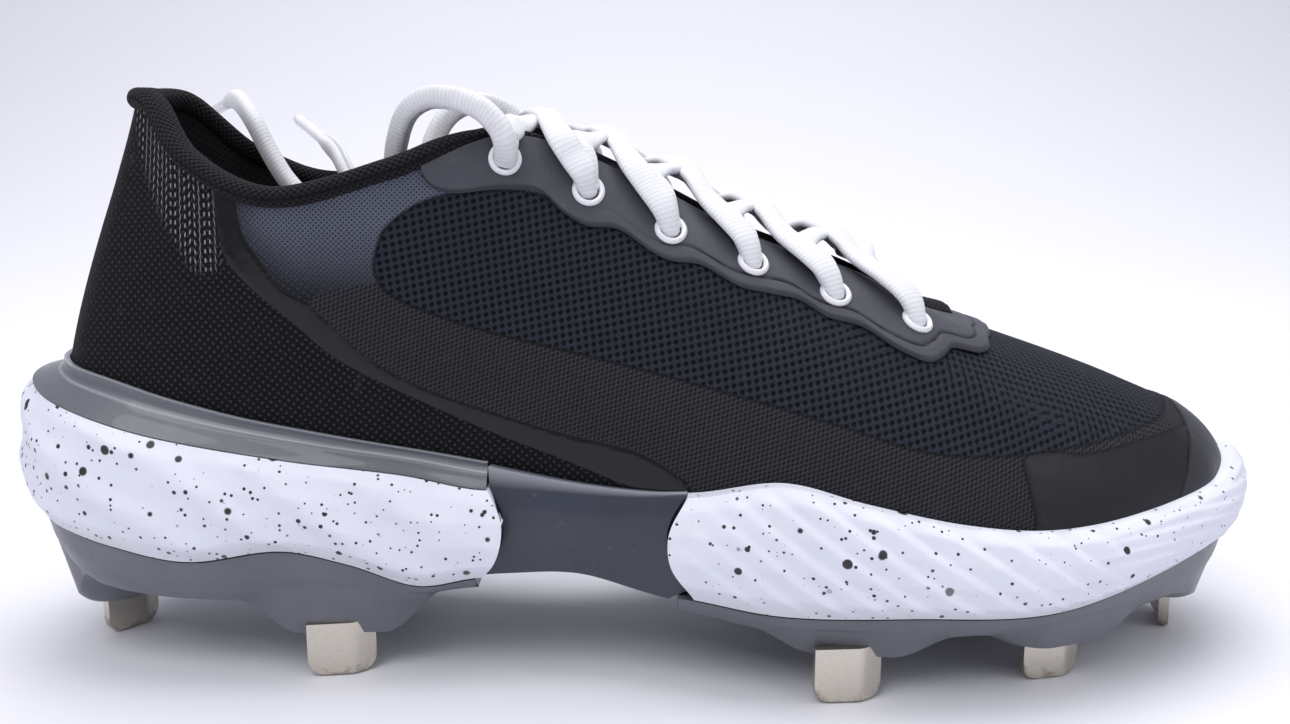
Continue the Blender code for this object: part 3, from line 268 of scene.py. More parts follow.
# Creases of the upper: where each starts and ends in side view in millimetres, its depth and half width
CREASES = [
    dict(start=(206, 71), stop=(222, 58), depth=0.30, wide=3.0),
    dict(start=(214, 73), stop=(231, 62), depth=-0.25, wide=3.2),
    dict(start=(222, 73.5), stop=(240, 64), depth=0.25, wide=3.0),
    dict(start=(236, 70), stop=(256, 62), depth=0.18, wide=4.0),
    dict(start=(96, 92), stop=(128, 84), depth=0.22, wide=4.5),
    dict(start=(70, 104), stop=(84, 90), depth=0.28, wide=4.0),
    dict(start=(76, 107), stop=(92, 106), depth=0.20, wide=3.0),
    dict(start=(30, 108), stop=(44, 90), depth=0.22, wide=5.0),
    dict(start=(150, 88), stop=(172, 78), depth=0.18, wide=5.0),
]

# Free lace ends, in millimetres of the shoe's own frame
LACE_END_LATERAL = [
    (120.2, -27.2, 118.4), (119.8, -27.9, 121.6), (118.0, -27.8, 125.2), (114.0, -26.2, 128.6),
    (108.0, -24.2, 130.5), (102.0, -21.0, 130.4), (97.0, -18.0, 127.0), (94.0, -15.0, 120.0),
    (92.0, -11.0, 111.0), (88.5, -6.0, 103.0), (83.0, 0.0, 97.5), (77.0, 6.0, 96.5), (70.5, 11.5, 100.0),
    (65.0, 15.0, 105.5), (60.0, 16.6, 111.0), (56.0, 17.8, 117.5), (52.2, 19.4, 124.6),
    (48.0, 24.3, 129.0), (45.0, 28.6, 130.2), (42.0, 32.6, 129.4),
]
LACE_END_MEDIAL = [
    (120.2, 26.0, 117.8), (119.8, 27.2, 120.6), (118.0, 27.6, 124.0), (114.0, 26.0, 127.6),
    (108.0, 22.5, 129.4), (102.0, 18.5, 127.0), (98.0, 16.0, 121.0), (95.5, 14.5, 112.0),
    (91.5, 15.0, 104.5), (86.0, 17.0, 100.5), (80.5, 19.0, 102.5), (76.5, 21.3, 108.0),
    (73.5, 24.2, 112.7), (70.8, 28.0, 116.4), (68.0, 31.6, 118.6), (65.5, 35.0, 120.0),
]

# Camera, in the row frame
CAMERA_PLACE = (0.0002, -0.318, 0.130)
CAMERA_TILT = math.radians(90 - 11.11)
CAMERA_LENS = 37.19
CAMERA_SENSOR = 36.0
CAMERA_NEAREST = 0.01

# Square lamps, in the row frame
LAMPS = [
    dict(name="key", place=(-0.45, -0.75, 1.15), aim=(0.0, 0.0, 0.05), size=0.9),
    dict(name="fill", place=(0.95, -0.65, 0.75), aim=(0.05, 0.0, 0.04), size=0.8),
    dict(name="top", place=(0.05, 0.25, 1.30), aim=(0.0, 0.0, 0.05), size=1.1),
    dict(name="wall", place=(0.0, 0.7, 1.9), aim=(0.0, 3.0, 1.2), size=1.6),
]

# Stations are counted along the tables: 0 at the heel, TOE at the toe, then back along the inner side
TOE = len(OUTLINE) - 1
ROUND = 2 * TOE
FILM_START = 5.24


def around(table, columns):
    """Rows for the outer side, heel to toe, then the inner side, toe to heel."""
    outer = [columns(row, -1) for row in table]
    inner = [columns(row, 1) for row in table[-2:0:-1]]
    return np.array(outer + inner)


def side_share(row, side):
    """How far across a row lies: the outer side is -1 and counts down from the middle."""
    return -row["lateral"] if side < 0 else row["medial"]


OUTLINE_ROWS = around(OUTLINE, lambda row, side: (
    row["along"] * LENGTH, side_share(row, side) * BALL_WIDTH))
OPENING_ROWS = around(OPENING, lambda row, side: (
    row["along"] * LENGTH,
    side_share(row, side) * BALL_WIDTH,
    row["of_heel"] * HEEL_HEIGHT + row["of_instep"] * INSTEP_HEIGHT))
WALL_ROWS = around(WALL, lambda row, side: (row["rise"], row["swell"] * BALL_WIDTH, row["lean"], row["drop"]))


def smooth(a, b, c, d, t):
    """A point between b and c on the smooth curve through a, b, c and d."""
    bend = (2 * a - 5 * b + 4 * c - d) * t * t + (3 * b - a - 3 * c + d) * t ** 3
    return 0.5 * (2 * b + (c - a) * t + bend)


def at_station(rows, station):
    """A closed table read smoothly at stations round the shoe."""
    station = np.asarray(station, dtype=float)
    first = np.floor(station).astype(int)
    a, b, c, d = (rows[(first + step) % len(rows)] for step in (-1, 0, 1, 2))
    return smooth(a, b, c, d, (station - first)[..., None])


def read_line(line, along):
    """A line given as pairs, read smoothly and held level past its ends."""
    xs, ys = np.array(line, dtype=float).T
    along = np.clip(np.asarray(along, dtype=float), xs[0], xs[-1])
    k = np.clip(np.searchsorted(xs, along, side="right") - 1, 0, len(xs) - 2)
    before = np.maximum(k - 1, 0)
    after = np.minimum(k + 2, len(xs) - 1)
    slope0 = (ys[k + 1] - ys[before]) / (xs[k + 1] - xs[before])
    slope1 = (ys[after] - ys[k]) / (xs[after] - xs[k])
    span = xs[k + 1] - xs[k]
    t = (along - xs[k]) / span
    return ((2 * t ** 3 - 3 * t ** 2 + 1) * ys[k] + (t ** 3 - 2 * t ** 2 + t) * span * slope0
            + (3 * t ** 2 - 2 * t ** 3) * ys[k + 1] + (t ** 3 - t ** 2) * span * slope1)


def line_of(line, size):
    """A side view line as a function of x."""
    return lambda x: read_line(line, np.asarray(x) / LENGTH) * size


footbed = line_of(FOOTBED_LINE, FOOTBED_HEIGHT)
foam_rim = line_of(FOAM_RIM_LINE, FOAM_RIM_HEIGHT)
foam_foot = line_of(FOAM_FOOT_LINE, FOAM_FOOT_HEIGHT)
clip_top = line_of(CLIP_LINE, CLIP_HEIGHT)
bridge_rim = line_of(BRIDGE_RIM_LINE, BRIDGE_RIM_HEIGHT)
arch = line_of(ARCH_LINE, ARCH_HEIGHT)
plate_bottom = line_of(PLATE_LINE, PLATE_HEIGHT)


def step_between(low, high, value):
    """A soft step from 0 at low to 1 at high."""
    t = np.clip((value - low) / (high - low), 0.0, 1.0)
    return t * t * (3 - 2 * t)


def unit(vectors):
    return vectors / np.maximum(np.linalg.norm(vectors, axis=-1, keepdims=True), 1e-12)


def outline_point(station, inset, up_of=None):
    """Points of the sole's outline moved in by the inset, at the heights that their x gives."""
    station = np.asarray(station, dtype=float)
    here = at_station(OUTLINE_ROWS, station)
    tangent = unit(at_station(OUTLINE_ROWS, station + 0.01) - at_station(OUTLINE_ROWS, station - 0.01))
    x = here[..., 0] - tangent[..., 1] * inset
    y = here[..., 1] + tangent[..., 0] * inset
    z = up_of(x) if up_of else np.zeros_like(x)
    return np.stack((x, y, z), axis=-1)


def feather_inset(station):
    share = step_between(0.35, 0.65, at_station(OUTLINE_ROWS, station)[..., 0] / LENGTH)
    return HEEL_FEATHER_INSET + (TOE_FEATHER_INSET - HEEL_FEATHER_INSET) * share


def surface(station, share):
    """The upper's outer surface: share 0 at the sole, 1 at the edge of the collar and throat."""
    station, share = np.broadcast_arrays(np.asarray(station, dtype=float), np.asarray(share, dtype=float))
    inset = feather_inset(station)
    foot = outline_point(station, inset, footbed)
    foot[..., 2] += CLEARANCE
    edge = at_station(OPENING_ROWS, station)
    rise, swell, lean, drop = np.moveaxis(at_station(WALL_ROWS, station), -1, 0)
    tall = edge[..., 2] - foot[..., 2]
    first = outline_point(station, inset - swell)
    first[..., 2] = foot[..., 2] + rise * tall
    last = edge + (foot - edge) * lean[..., None]
    last[..., 2] = edge[..., 2] - drop * tall
    t = share[..., None]
    u = 1 - t
    return u ** 3 * foot + 3 * u * u * t * first + 3 * u * t * t * last + t ** 3 * edge


def outward(station, share):
    """The direction out of the upper's surface."""
    share = np.asarray(share, dtype=float)
    low = np.maximum(0.0, share - 0.01)
    high = np.minimum(1.0, share + 0.01)
    along = surface(np.asarray(station) + 0.02, share) - surface(np.asarray(station) - 0.02, share)
    return unit(np.cross(along, surface(station, high) - surface(station, low)))


def off_surface(station, share, distance):
    distance = np.asarray(distance, dtype=float)
    return surface(station, share) + outward(station, share) * distance[..., None]


def share_where(station, test):
    """The highest share at which a test of the wall's points still holds, going up from the sole."""
    low = np.zeros_like(station)
    high = np.ones_like(station)
    for _ in range(18):
        middle = 0.5 * (low + high)
        holds = test(surface(station, middle))
        low = np.where(holds, middle, low)
        high = np.where(holds, high, middle)
    return 0.5 * (low + high)


def share_below(station, distance):
    """How far up the wall a line a distance below the edge of the throat lies."""
    station = np.atleast_1d(np.asarray(station, dtype=float))
    edge = surface(station, 1.0)
    return share_where(station, lambda point: np.linalg.norm(point - edge, axis=-1) > distance)


def wall_point(station, up_of, distance):
    """The upper's surface, moved out by a distance, at the height that its own x gives."""
    station = np.atleast_1d(np.asarray(station, dtype=float))
    point = surface(station, 0.0)
    for _ in range(2):
        up = up_of(point[..., 0])
        share = share_where(station, lambda p: p[..., 2] < up)
        point = off_surface(station, share, distance)
        point[..., 2] = up_of(point[..., 0])
    return point


def bed_point(station):
    point = off_surface(np.atleast_1d(np.asarray(station, dtype=float)), 0.0, CLEARANCE)
    point[..., 2] = footbed(point[..., 0])
    return point


def end_station(maker, x, inner_side):
    """The station, counted on the outer side, where a maker's point stands at x."""
    low, high = 0.0, float(TOE)
    for _ in range(20):
        middle = 0.5 * (low + high)
        here = maker(np.array([ROUND - middle if inner_side else middle]))[0][0]
        if here < x:
            low = middle
        else:
            high = middle
    return 0.5 * (low + high)


def level_maker(inset, level_of, foot_of, rim_of):
    """Points of a layer's side at an inset and a level between its foot and its rim."""
    def up_of(x):
        return foot_of(x) + level_of(x) * (rim_of(x) - foot_of(x))
    return lambda station: outline_point(station, inset, up_of)


def eyelet_places(inner_side):
    """The places of one side's eyelets, from the collar down, as station and share."""
    places = []
    for eyelet in EYELETS:
        distance = eyelet["below"] * EYELET_MARGIN
        low, high = 4.5, float(TOE)
        for _ in range(22):
            middle = 0.5 * (low + high)
            if surface(middle, share_below(middle, distance)[0])[0] < eyelet["along"] * LENGTH:
                low = middle
            else:
                high = middle
        station = 0.5 * (low + high)
        station = ROUND - station if inner_side else station
        places.append((station, share_below(station, distance)[0]))
    return places


def rounded(points, parts=5, closed=True):
    """A smooth line through corner points."""
    points = np.array(points, dtype=float)
    count = len(points)
    fine = []
    for k in range(count if closed else count - 1):
        if closed:
            a, b, c, d = (points[(k + step) % count] for step in (-1, 0, 1, 2))
        else:
            a, b, c, d = (points[min(max(k + step, 0), count - 1)] for step in (-1, 0, 1, 2))
        fine.extend(smooth(a, b, c, d, i / parts) for i in range(parts))
    if not closed:
        fine.append(points[-1])
    return np.array(fine)


def inside_by(field, x, z):
    """Signed distance in millimetres to a panel's smooth outline, positive inside."""
    outline = rounded(field)
    nearest = np.full(x.shape, 1e9)
    crossed = np.zeros(x.shape, dtype=bool)
    for (ax, az), (bx, bz) in zip(outline, np.roll(outline, -1, axis=0)):
        dx, dz = bx - ax, bz - az
        t = np.clip(((x - ax) * dx + (z - az) * dz) / max(dx * dx + dz * dz, 1e-9), 0.0, 1.0)
        nearest = np.minimum(nearest, (x - ax - t * dx) ** 2 + (z - az - t * dz) ** 2)
        if abs(dz) > 1e-9:
            crossed ^= ((az > z) != (bz > z)) & (x < ax + (z - az) * dx / dz)
    return np.where(crossed, 1.0, -1.0) * np.sqrt(nearest)


def grid_faces(wide, tall, base=0, closed=False, flip=False):
    """Faces of a grid of points held column by column."""
    i, j = np.meshgrid(np.arange(wide if closed else wide - 1), np.arange(tall - 1), indexing="ij")
    n = (i + 1) % wide
    corners = [i * tall + j, n * tall + j, n * tall + j + 1, i * tall + j + 1]
    if flip:
        corners = corners[::-1]
    return (np.stack(corners, axis=-1).reshape(-1, 4) + base).tolist()


def make_piece(name, points, faces, material, nodes=(), values=None, merge=True, sharp=None):
    """A mesh in the row frame that rides on the shoe and stands for the named CAD nodes."""
    mesh = bpy.data.meshes.new(name)
    mesh.from_pydata((np.asarray(points).reshape(-1, 3) + FRAME_SHIFT).tolist(), [], faces)
    for key, value in (values or {}).items():
        value = np.asarray(value, dtype=float)
        if value.ndim > 1 and value.shape[-1] == 3:
            mesh.attributes.new(key, "FLOAT_VECTOR", "POINT").data.foreach_set("vector", value.reshape(-1))
        else:
            mesh.attributes.new(key, "FLOAT", "POINT").data.foreach_set("value", value.reshape(-1))
    work = bmesh.new()
    work.from_mesh(mesh)
    if merge:
        bmesh.ops.remove_doubles(work, verts=work.verts, dist=2e-6)
    bmesh.ops.recalc_face_normals(work, faces=work.faces)
    work.to_mesh(mesh)
    work.free()
    mesh.shade_smooth()
    if sharp:
        mesh.set_sharp_from_angle(angle=math.radians(sharp))
    mesh.materials.append(material)
    piece = bpy.data.objects.new(name, mesh)
    bpy.context.collection.objects.link(piece)
    if nodes:
        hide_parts(*nodes)
    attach(piece, "root")
    return piece


def srgb(red, green, blue):
    """A colour given from 0 to 255, as Blender's linear values."""
    def linear(value):
        value /= 255.0
        return value / 12.92 if value <= 0.04045 else ((value + 0.055) / 1.055) ** 2.4
    return (linear(red), linear(green), linear(blue), 1.0)


class Graph:
    """Short calls for one material's nodes."""

    def __init__(self, name, colour, roughness, metallic=0.0, specular=0.5):
        self.material = bpy.data.materials.new(name)
        self.material.use_nodes = True
        self.tree = self.material.node_tree
        self.shader = self.tree.nodes["Principled BSDF"]
        self.set("Base Color", colour)
        self.set("Roughness", roughness)
        self.set("Metallic", metallic)
        self.set("Specular IOR Level", specular)
        self.material.diffuse_color = colour
        self.last_normal = None

    def node(self, kind, inputs, **settings):
        node = self.tree.nodes.new(kind)
        for key, value in settings.items():
            setattr(node, key, value)
        for key, value in inputs.items():
            self.put(node.inputs[key], value)
        return node

    def put(self, socket, value):
        if isinstance(value, bpy.types.NodeSocket):
            self.tree.links.new(value, socket)
        else:
            socket.default_value = value

    def set(self, name, value):
        """Sets or links one of the shader's own inputs."""
        self.put(self.shader.inputs[name], value)

    def math(self, operation, a, b=0.0, clamp=False):
        return self.node("ShaderNodeMath", {0: a, 1: b}, operation=operation, use_clamp=clamp).outputs[0]

    def times(self, a, b):
        return self.math("MULTIPLY", a, b)

    def plus(self, a, b):
        return self.math("ADD", a, b)

    def mix(self, share, a, b):
        return self.node("ShaderNodeMix", {0: share, 6: a, 7: b}, data_type="RGBA").outputs[2]

    def blend(self, share, a, b):
        return self.node("ShaderNodeMix", {0: share, 2: a, 3: b}, data_type="FLOAT").outputs[0]

    def step(self, value, low, high, start=0.0, stop=1.0):
        return self.node("ShaderNodeMapRange", {0: value, 1: low, 2: high, 3: start, 4: stop},
                         interpolation_type="SMOOTHSTEP").outputs[0]

    def value(self, name):
        return self.node("ShaderNodeAttribute", {}, attribute_name=name).outputs["Fac"]

    def vector(self, name):
        return self.node("ShaderNodeAttribute", {}, attribute_name=name).outputs["Vector"]

    def place(self):
        """The point in millimetres."""
        return self.stretch(self.node("ShaderNodeTexCoord", {}).outputs["Object"], (1000.0,) * 3)

    def stretch(self, vector, factors):
        return self.node("ShaderNodeVectorMath", {0: vector, 1: factors}, operation="MULTIPLY").outputs[0]

    def split(self, vector):
        return self.node("ShaderNodeSeparateXYZ", {0: vector}).outputs

    def noise(self, vector, size, detail=3.0, rough=0.5):
        """Noise with features of a size in millimetres."""
        return self.node("ShaderNodeTexNoise", {"Vector": vector, "Scale": 1.0 / size, "Detail": detail,
                                                "Roughness": rough}).outputs["Fac"]

    def bump(self, height, distance, strength=1.0):
        """Adds relief whose height is given in millimetres."""
        inputs = {"Height": height, "Distance": distance * MM, "Strength": strength}
        if self.last_normal is not None:
            inputs["Normal"] = self.last_normal
        self.last_normal = self.node("ShaderNodeBump", inputs).outputs["Normal"]
        self.set("Normal", self.last_normal)

    def wave(self, a, pitch):
        return self.math("COSINE", self.times(a, 2 * math.pi / pitch))

    def lattice(self, a, b, pitch_a, pitch_b):
        """1 at the points of a staggered lattice, -1 halfway between them."""
        return self.times(self.wave(a, pitch_a), self.wave(b, pitch_b))

    def weave(self, facing, point, pitch_a, pitch_b, slant=0.0):
        """A lattice seen square on from the back, the side and the top, each where the cloth faces it."""
        x, y, z = self.split(point)
        toward_x, toward_y, toward_z = self.split(facing)

        def turned(a, b):
            first = self.plus(self.times(a, math.cos(slant)),
                              self.times(b, math.sin(slant)))
            second = self.math("SUBTRACT", self.times(b, math.cos(slant)),
                               self.times(a, math.sin(slant)))
            return self.lattice(first, second, pitch_a, pitch_b)

        parts = [self.times(toward_x, turned(y, z)), self.times(toward_y, turned(x, z)),
                 self.times(toward_z, turned(x, y))]
        return self.plus(self.plus(parts[0], parts[1]), parts[2])


def woven_values(points):
    """Millimetres gone along and round a grid of points, for patterns that follow the piece."""
    points = np.asarray(points) / MM
    along = np.linalg.norm(np.diff(points, axis=0), axis=2).mean(axis=1)
    round_it = np.linalg.norm(np.diff(points, axis=1), axis=2)
    run = np.concatenate(([0.0], np.cumsum(along)))[:, None] * np.ones(points.shape[1])
    girth = np.concatenate((np.zeros((len(points), 1)), np.cumsum(round_it, axis=1)), axis=1)
    return dict(run=run, girth=girth - girth.mean(axis=1, keepdims=True))


def facing_values(normals):
    """How much each point faces the back, the side and the top, sharpened so that they cross fast."""
    sharp = np.abs(normals) ** 6
    return sharp / sharp.sum(axis=-1, keepdims=True)


def tube_rows(path, wide, thick, hints, sides=16, power=2.0):
    """Rings of a flattened tube along a path; wide and thick may change along it."""
    path = np.asarray(path, dtype=float)
    ahead = unit(np.gradient(path, axis=0))
    hints = np.broadcast_to(np.asarray(hints, dtype=float), path.shape)
    up = unit(hints - ahead * np.sum(hints * ahead, axis=1, keepdims=True))
    side = np.cross(ahead, up)
    angle = np.linspace(0, 2 * math.pi, sides, endpoint=False)
    c, s = np.cos(angle), np.sin(angle)
    c, s = np.sign(c) * np.abs(c) ** (2 / power), np.sign(s) * np.abs(s) ** (2 / power)
    wide = np.broadcast_to(wide, len(path))[:, None, None]
    thick = np.broadcast_to(thick, len(path))[:, None, None]
    rows = path[:, None, :] + side[:, None, :] * 0.5 * wide * c[None, :, None]
    return rows + up[:, None, :] * 0.5 * thick * s[None, :, None]


def tube_faces(count, sides, base=0, caps=True):
    """Faces of rings held one after another."""
    faces = []
    for i in range(count - 1):
        for k in range(sides):
            n = (k + 1) % sides
            faces.append((base + i * sides + k, base + i * sides + n,
                          base + (i + 1) * sides + n, base + (i + 1) * sides + k))
    if caps:
        faces.append(tuple(base + k for k in range(sides))[::-1])
        faces.append(tuple(base + (count - 1) * sides + k for k in range(sides)))
    return faces


def resample(points, step, parts=12):
    """A smooth route through given points, read at even steps."""
    fine = rounded(points, parts, closed=False)
    gone = np.concatenate(([0.0], np.cumsum(np.linalg.norm(np.diff(fine, axis=0), axis=1))))
    marks = np.linspace(0.0, gone[-1], max(6, int(gone[-1] / step)))
    return np.stack([np.interp(marks, gone, fine[:, axis]) for axis in range(3)], axis=1)


def wrap_shell(outer, inner, closed):
    """Points and faces of a shell whose columns run up its outer layer and down its inner one."""
    points = np.concatenate((outer, inner[:, ::-1]), axis=1)
    wide, tall = points.shape[:2]
    faces = grid_faces(wide, tall, closed=closed)
    for i in range(wide if closed else wide - 1):
        n = (i + 1) % wide
        faces.append([i * tall + tall - 1, n * tall + tall - 1, n * tall, i * tall])
    if not closed:
        faces.append(list(range(tall)))
        faces.append([(wide - 1) * tall + j for j in range(tall)][::-1])
    return points, faces


def without_holes(points, faces, centres, radius):
    """Faces of a shell that don't lie over the eyelets."""
    flat = points.reshape(-1, 3)
    kept = []
    middles = np.array([flat[face[0]] + flat[face[2]] for face in faces]) * 0.5
    over = np.zeros(len(faces), dtype=bool)
    for centre in centres:
        over |= np.linalg.norm(middles - centre, axis=1) < radius
    for face, gone in zip(faces, over):
        if not gone:
            kept.append(face)
    return kept


# Materials

def upper_material(look):
    """One cloth with its panels told apart by the mesh's own signed distances."""
    g = Graph("cleat_upper", srgb(24, 25, 31), 0.72, specular=0.5)
    point = g.place()
    facing = g.vector("facing")
    mesh_in = g.step(g.value("mesh"), -0.15, 0.15)
    slate_in = g.step(g.value("slate"), -5.0, 9.0)
    strip_in = g.step(g.value("strip"), -0.15, 0.15)
    band_in = g.step(g.value("band"), -0.2, 0.2)
    side_in = g.step(g.value("toe_side"), -0.15, 0.15)
    bumper_in = g.step(g.value("bumper"), -0.15, 0.15)
    dash_in = g.step(g.value("dash"), -1.0, 2.0)
    lining = g.value("lining")

    fine = g.weave(facing, point, 2.50, 2.20, 0.95)
    small = g.weave(facing, point, 1.15, 1.15, 0.0)
    rib = g.weave(facing, point, 1.80, 1.10, 0.90)
    dots = g.weave(facing, point, 2.00, 1.90, 0.10)
    drift = g.noise(point, 26.0, 2.0)
    grime = g.noise(point, 6.0, 5.0, 0.65)
    fuzz = g.noise(point, 0.35, 2.0)

    open_mesh = g.mix(g.step(fine, -0.05, 0.42), srgb(*look.mesh_tone), srgb(4, 4, 7))
    slate = g.mix(g.value("low"), srgb(*look.slate_tone), srgb(40, 41, 48))
    slate = g.mix(g.step(small, 0.25, 0.75), slate, srgb(34, 35, 42))
    heel = g.mix(g.step(dots, 0.35, 0.75), srgb(*look.heel_tone), srgb(50, 52, 58))
    band = g.mix(g.step(rib, -0.6, 0.7), srgb(*look.band_tone), srgb(24, 24, 28))
    x, y, z = g.split(point)
    columns = g.wave(x, 1.25)
    broken = g.wave(g.plus(z, g.times(g.noise(x, 1.5, 0.0), 9.0)), 2.0)
    dashes = g.times(g.step(columns, 0.45, 0.80), g.step(broken, -0.1, 0.45))
    heel = g.mix(g.times(g.times(dashes, dash_in), 0.62), heel, srgb(176, 178, 186))

    colour = g.mix(slate_in, heel, slate)
    colour = g.mix(band_in, colour, band)
    colour = g.mix(mesh_in, colour, open_mesh)
    colour = g.mix(side_in, colour, srgb(24, 25, 29))
    colour = g.mix(bumper_in, colour, srgb(48, 49, 54))
    colour = g.mix(strip_in, colour, srgb(5, 5, 7))
    # Seams: a darker line where one panel ends
    for name in ("mesh", "toe_side", "bumper"):
        edge = g.math("ABSOLUTE", g.value(name))
        colour = g.mix(g.times(g.step(edge, 0.7, 0.1), 0.65), colour, srgb(9, 9, 12))
    colour = g.mix(g.times(drift, 0.35), colour, srgb(18, 19, 24))
    colour = g.mix(g.times(g.step(grime, 0.60, 0.82), 0.12), colour, srgb(104, 102, 104))
    colour = g.mix(lining, colour, g.mix(g.step(small, 0.1, 0.7), srgb(30, 30, 33), srgb(9, 9, 11)))
    g.set("Base Color", colour)

    plain = g.math("MAXIMUM", g.math("MAXIMUM", side_in, bumper_in), strip_in)
    cloth = g.math("SUBTRACT", 1.0, plain, clamp=True)
    relief = g.blend(slate_in, g.times(dots, 0.5), g.times(small, -0.8))
    relief = g.blend(band_in, relief, g.times(rib, -1.0))
    relief = g.blend(mesh_in, relief, g.times(fine, -1.1))
    g.bump(g.times(relief, cloth), 0.16)
    g.bump(g.times(fuzz, cloth), 0.07)
    g.bump(g.noise(point, 9.0, 3.0), 0.25)
    rough = g.blend(plain, 0.72, g.blend(strip_in, 0.42, 0.13))
    rough = g.math("ADD", rough, g.times(g.math("SUBTRACT", grime, 0.5), 0.22), clamp=True)
    g.set("Roughness", rough)
    g.set("Coat Weight", g.times(strip_in, 0.15))
    g.set("Specular IOR Level", g.blend(plain, 0.10, g.blend(strip_in, 0.28, 0.26)))
    g.set("Coat Roughness", 0.18)
    g.set("Sheen Weight", g.times(cloth, 0.015))
    return g.material


def film_material(look):
    """Slate film with painted shade in its groove, a darker rim and pale scuffs."""
    g = Graph("cleat_film", srgb(84, 85, 94), 0.56, specular=0.25)
    point = g.place()
    drift = g.noise(point, 14.0, 3.0)
    grain = g.noise(point, 0.5, 2.0)
    scuff = g.noise(point, 4.0, 6.0, 0.7)
    colour = g.mix(drift, srgb(56, 57, 64), srgb(*look.film_tone))
    # Painted shade: the groove is darkened where shade would fall in it
    colour = g.mix(g.times(g.value("groove"), 0.9), colour, srgb(28, 29, 34))
    colour = g.mix(g.times(g.value("rim"), 0.55), colour, srgb(40, 41, 47))
    colour = g.mix(g.times(g.step(scuff, 0.6, 0.8), 0.3), colour, srgb(130, 130, 136))
    g.set("Base Color", colour)
    g.set("Roughness", g.blend(scuff, 0.45, 0.68))
    g.bump(grain, 0.05)
    g.bump(drift, 0.5)
    return g.material


def knit_material(name, dark, light, pitch_a, pitch_b, depth, sheen):
    """Cloth that follows its own piece's run and girth."""
    g = Graph(name, dark, 0.85, specular=0.12)
    point = g.place()
    weave = g.lattice(g.value("run"), g.value("girth"), pitch_a, pitch_b)
    fuzz = g.noise(point, 0.3, 3.0)
    drift = g.noise(point, 9.0, 3.0)
    colour = g.mix(g.step(weave, -0.5, 0.6), light, dark)
    colour = g.mix(g.times(drift, 0.4), colour, dark)
    g.set("Base Color", colour)
    g.bump(g.times(weave, -1.0), depth)
    g.bump(fuzz, 0.12)
    g.set("Roughness", g.blend(fuzz, 0.78, 0.96))
    g.set("Sheen Weight", sheen)
    return g.material


def lace_material(look):
    """White flat weave: fine ribs across, two ridges along."""
    g = Graph("cleat_lace", srgb(236, 236, 240), 0.75)
    point = g.place()
    run, girth = g.value("run"), g.value("girth")
    plait = g.lattice(g.plus(run, g.times(g.math("ABSOLUTE", girth), 0.8)), girth, 0.95, 1.30)
    fuzz = g.noise(point, 0.25, 3.0)
    dirt = g.noise(point, 7.0, 4.0, 0.6)
    colour = g.mix(g.step(plait, -0.8, 0.5), srgb(204, 205, 211), srgb(*look.lace_tone))
    colour = g.mix(g.times(g.step(dirt, 0.5, 0.8), 0.35), colour, srgb(186, 182, 178))
    g.set("Base Color", colour)
    g.bump(plait, 0.035)
    g.bump(fuzz, 0.05)
    g.set("Roughness", g.blend(fuzz, 0.65, 0.9))
    g.set("Sheen Weight", 0.15)
    return g.material


def foam_material(name, amount, look):
    """White moulded foam with black flecks of three sizes."""
    g = Graph(name, srgb(228, 230, 242), 0.48)
    point = g.place()
    dirt = g.noise(point, 12.0, 5.0, 0.6)
    colour = g.mix(dirt, srgb(208, 210, 224), srgb(*look.foam_tone))
    colour = g.mix(g.times(g.step(dirt, 0.56, 0.8), 0.35), colour, srgb(196, 192, 196))
    flecks = None
    for pitch, radius, share in ((5.6, 0.155, 0.62), (2.9, 0.17, 0.50), (1.5, 0.20, 0.42)):
        cells = g.node("ShaderNodeTexVoronoi", {"Vector": point, "Scale": 1.0 / pitch, "Randomness": 0.95})
        size = g.split(cells.outputs["Color"])
        chosen = g.step(size[0], 1.0 - share * amount, 1.0 - share * amount + 0.02)
        wide = g.times(g.plus(size[1], 0.35), radius)
        spot = g.step(g.math("SUBTRACT", cells.outputs["Distance"], wide), 0.03, -0.03)
        spot = g.times(spot, chosen)
        flecks = spot if flecks is None else g.math("MAXIMUM", flecks, spot)
    colour = g.mix(flecks, colour, srgb(*look.fleck_tone))
    foot = g.value("foot")
    colour = g.mix(g.times(g.times(foot, dirt), 0.5), colour, srgb(168, 160, 152))
    g.set("Base Color", colour)
    g.set("Roughness", g.blend(dirt, 0.40, 0.58))
    g.bump(g.noise(point, 0.6, 2.0), 0.03)
    g.bump(g.times(flecks, -1.0), 0.05)
    g.set("Subsurface Weight", 0.06)
    g.set("Subsurface Radius", (0.002, 0.002, 0.002))
    return g.material


def moulded_material(name, dark, light, roughness, accent=None, grain=0.05, coat=0.0):
    """Moulded plastic: cloudy tone, grain, scuffs, and pale lines in another tone: a real edge line, and on
    the clip a painted highlight along its crease.
    """
    g = Graph(name, light, roughness)
    point = g.place()
    cloud = g.noise(point, 16.0, 3.0)
    scuff = g.noise(point, 3.0, 6.0, 0.7)
    colour = g.mix(cloud, dark, light)
    colour = g.mix(g.times(g.step(scuff, 0.60, 0.80), 0.35), colour, srgb(150, 150, 156))
    if accent:
        # Mixes in the pale lines: a real edge line on the waist piece, and on the clip a painted highlight
        # along the crease
        colour = g.mix(g.value("accent"), colour, accent)
    g.set("Base Color", colour)
    g.set("Roughness", g.blend(scuff, roughness - 0.08, roughness + 0.18))
    g.bump(g.noise(point, 0.7, 2.0), grain)
    g.bump(scuff, 0.06)
    g.set("Coat Weight", coat)
    return g.material


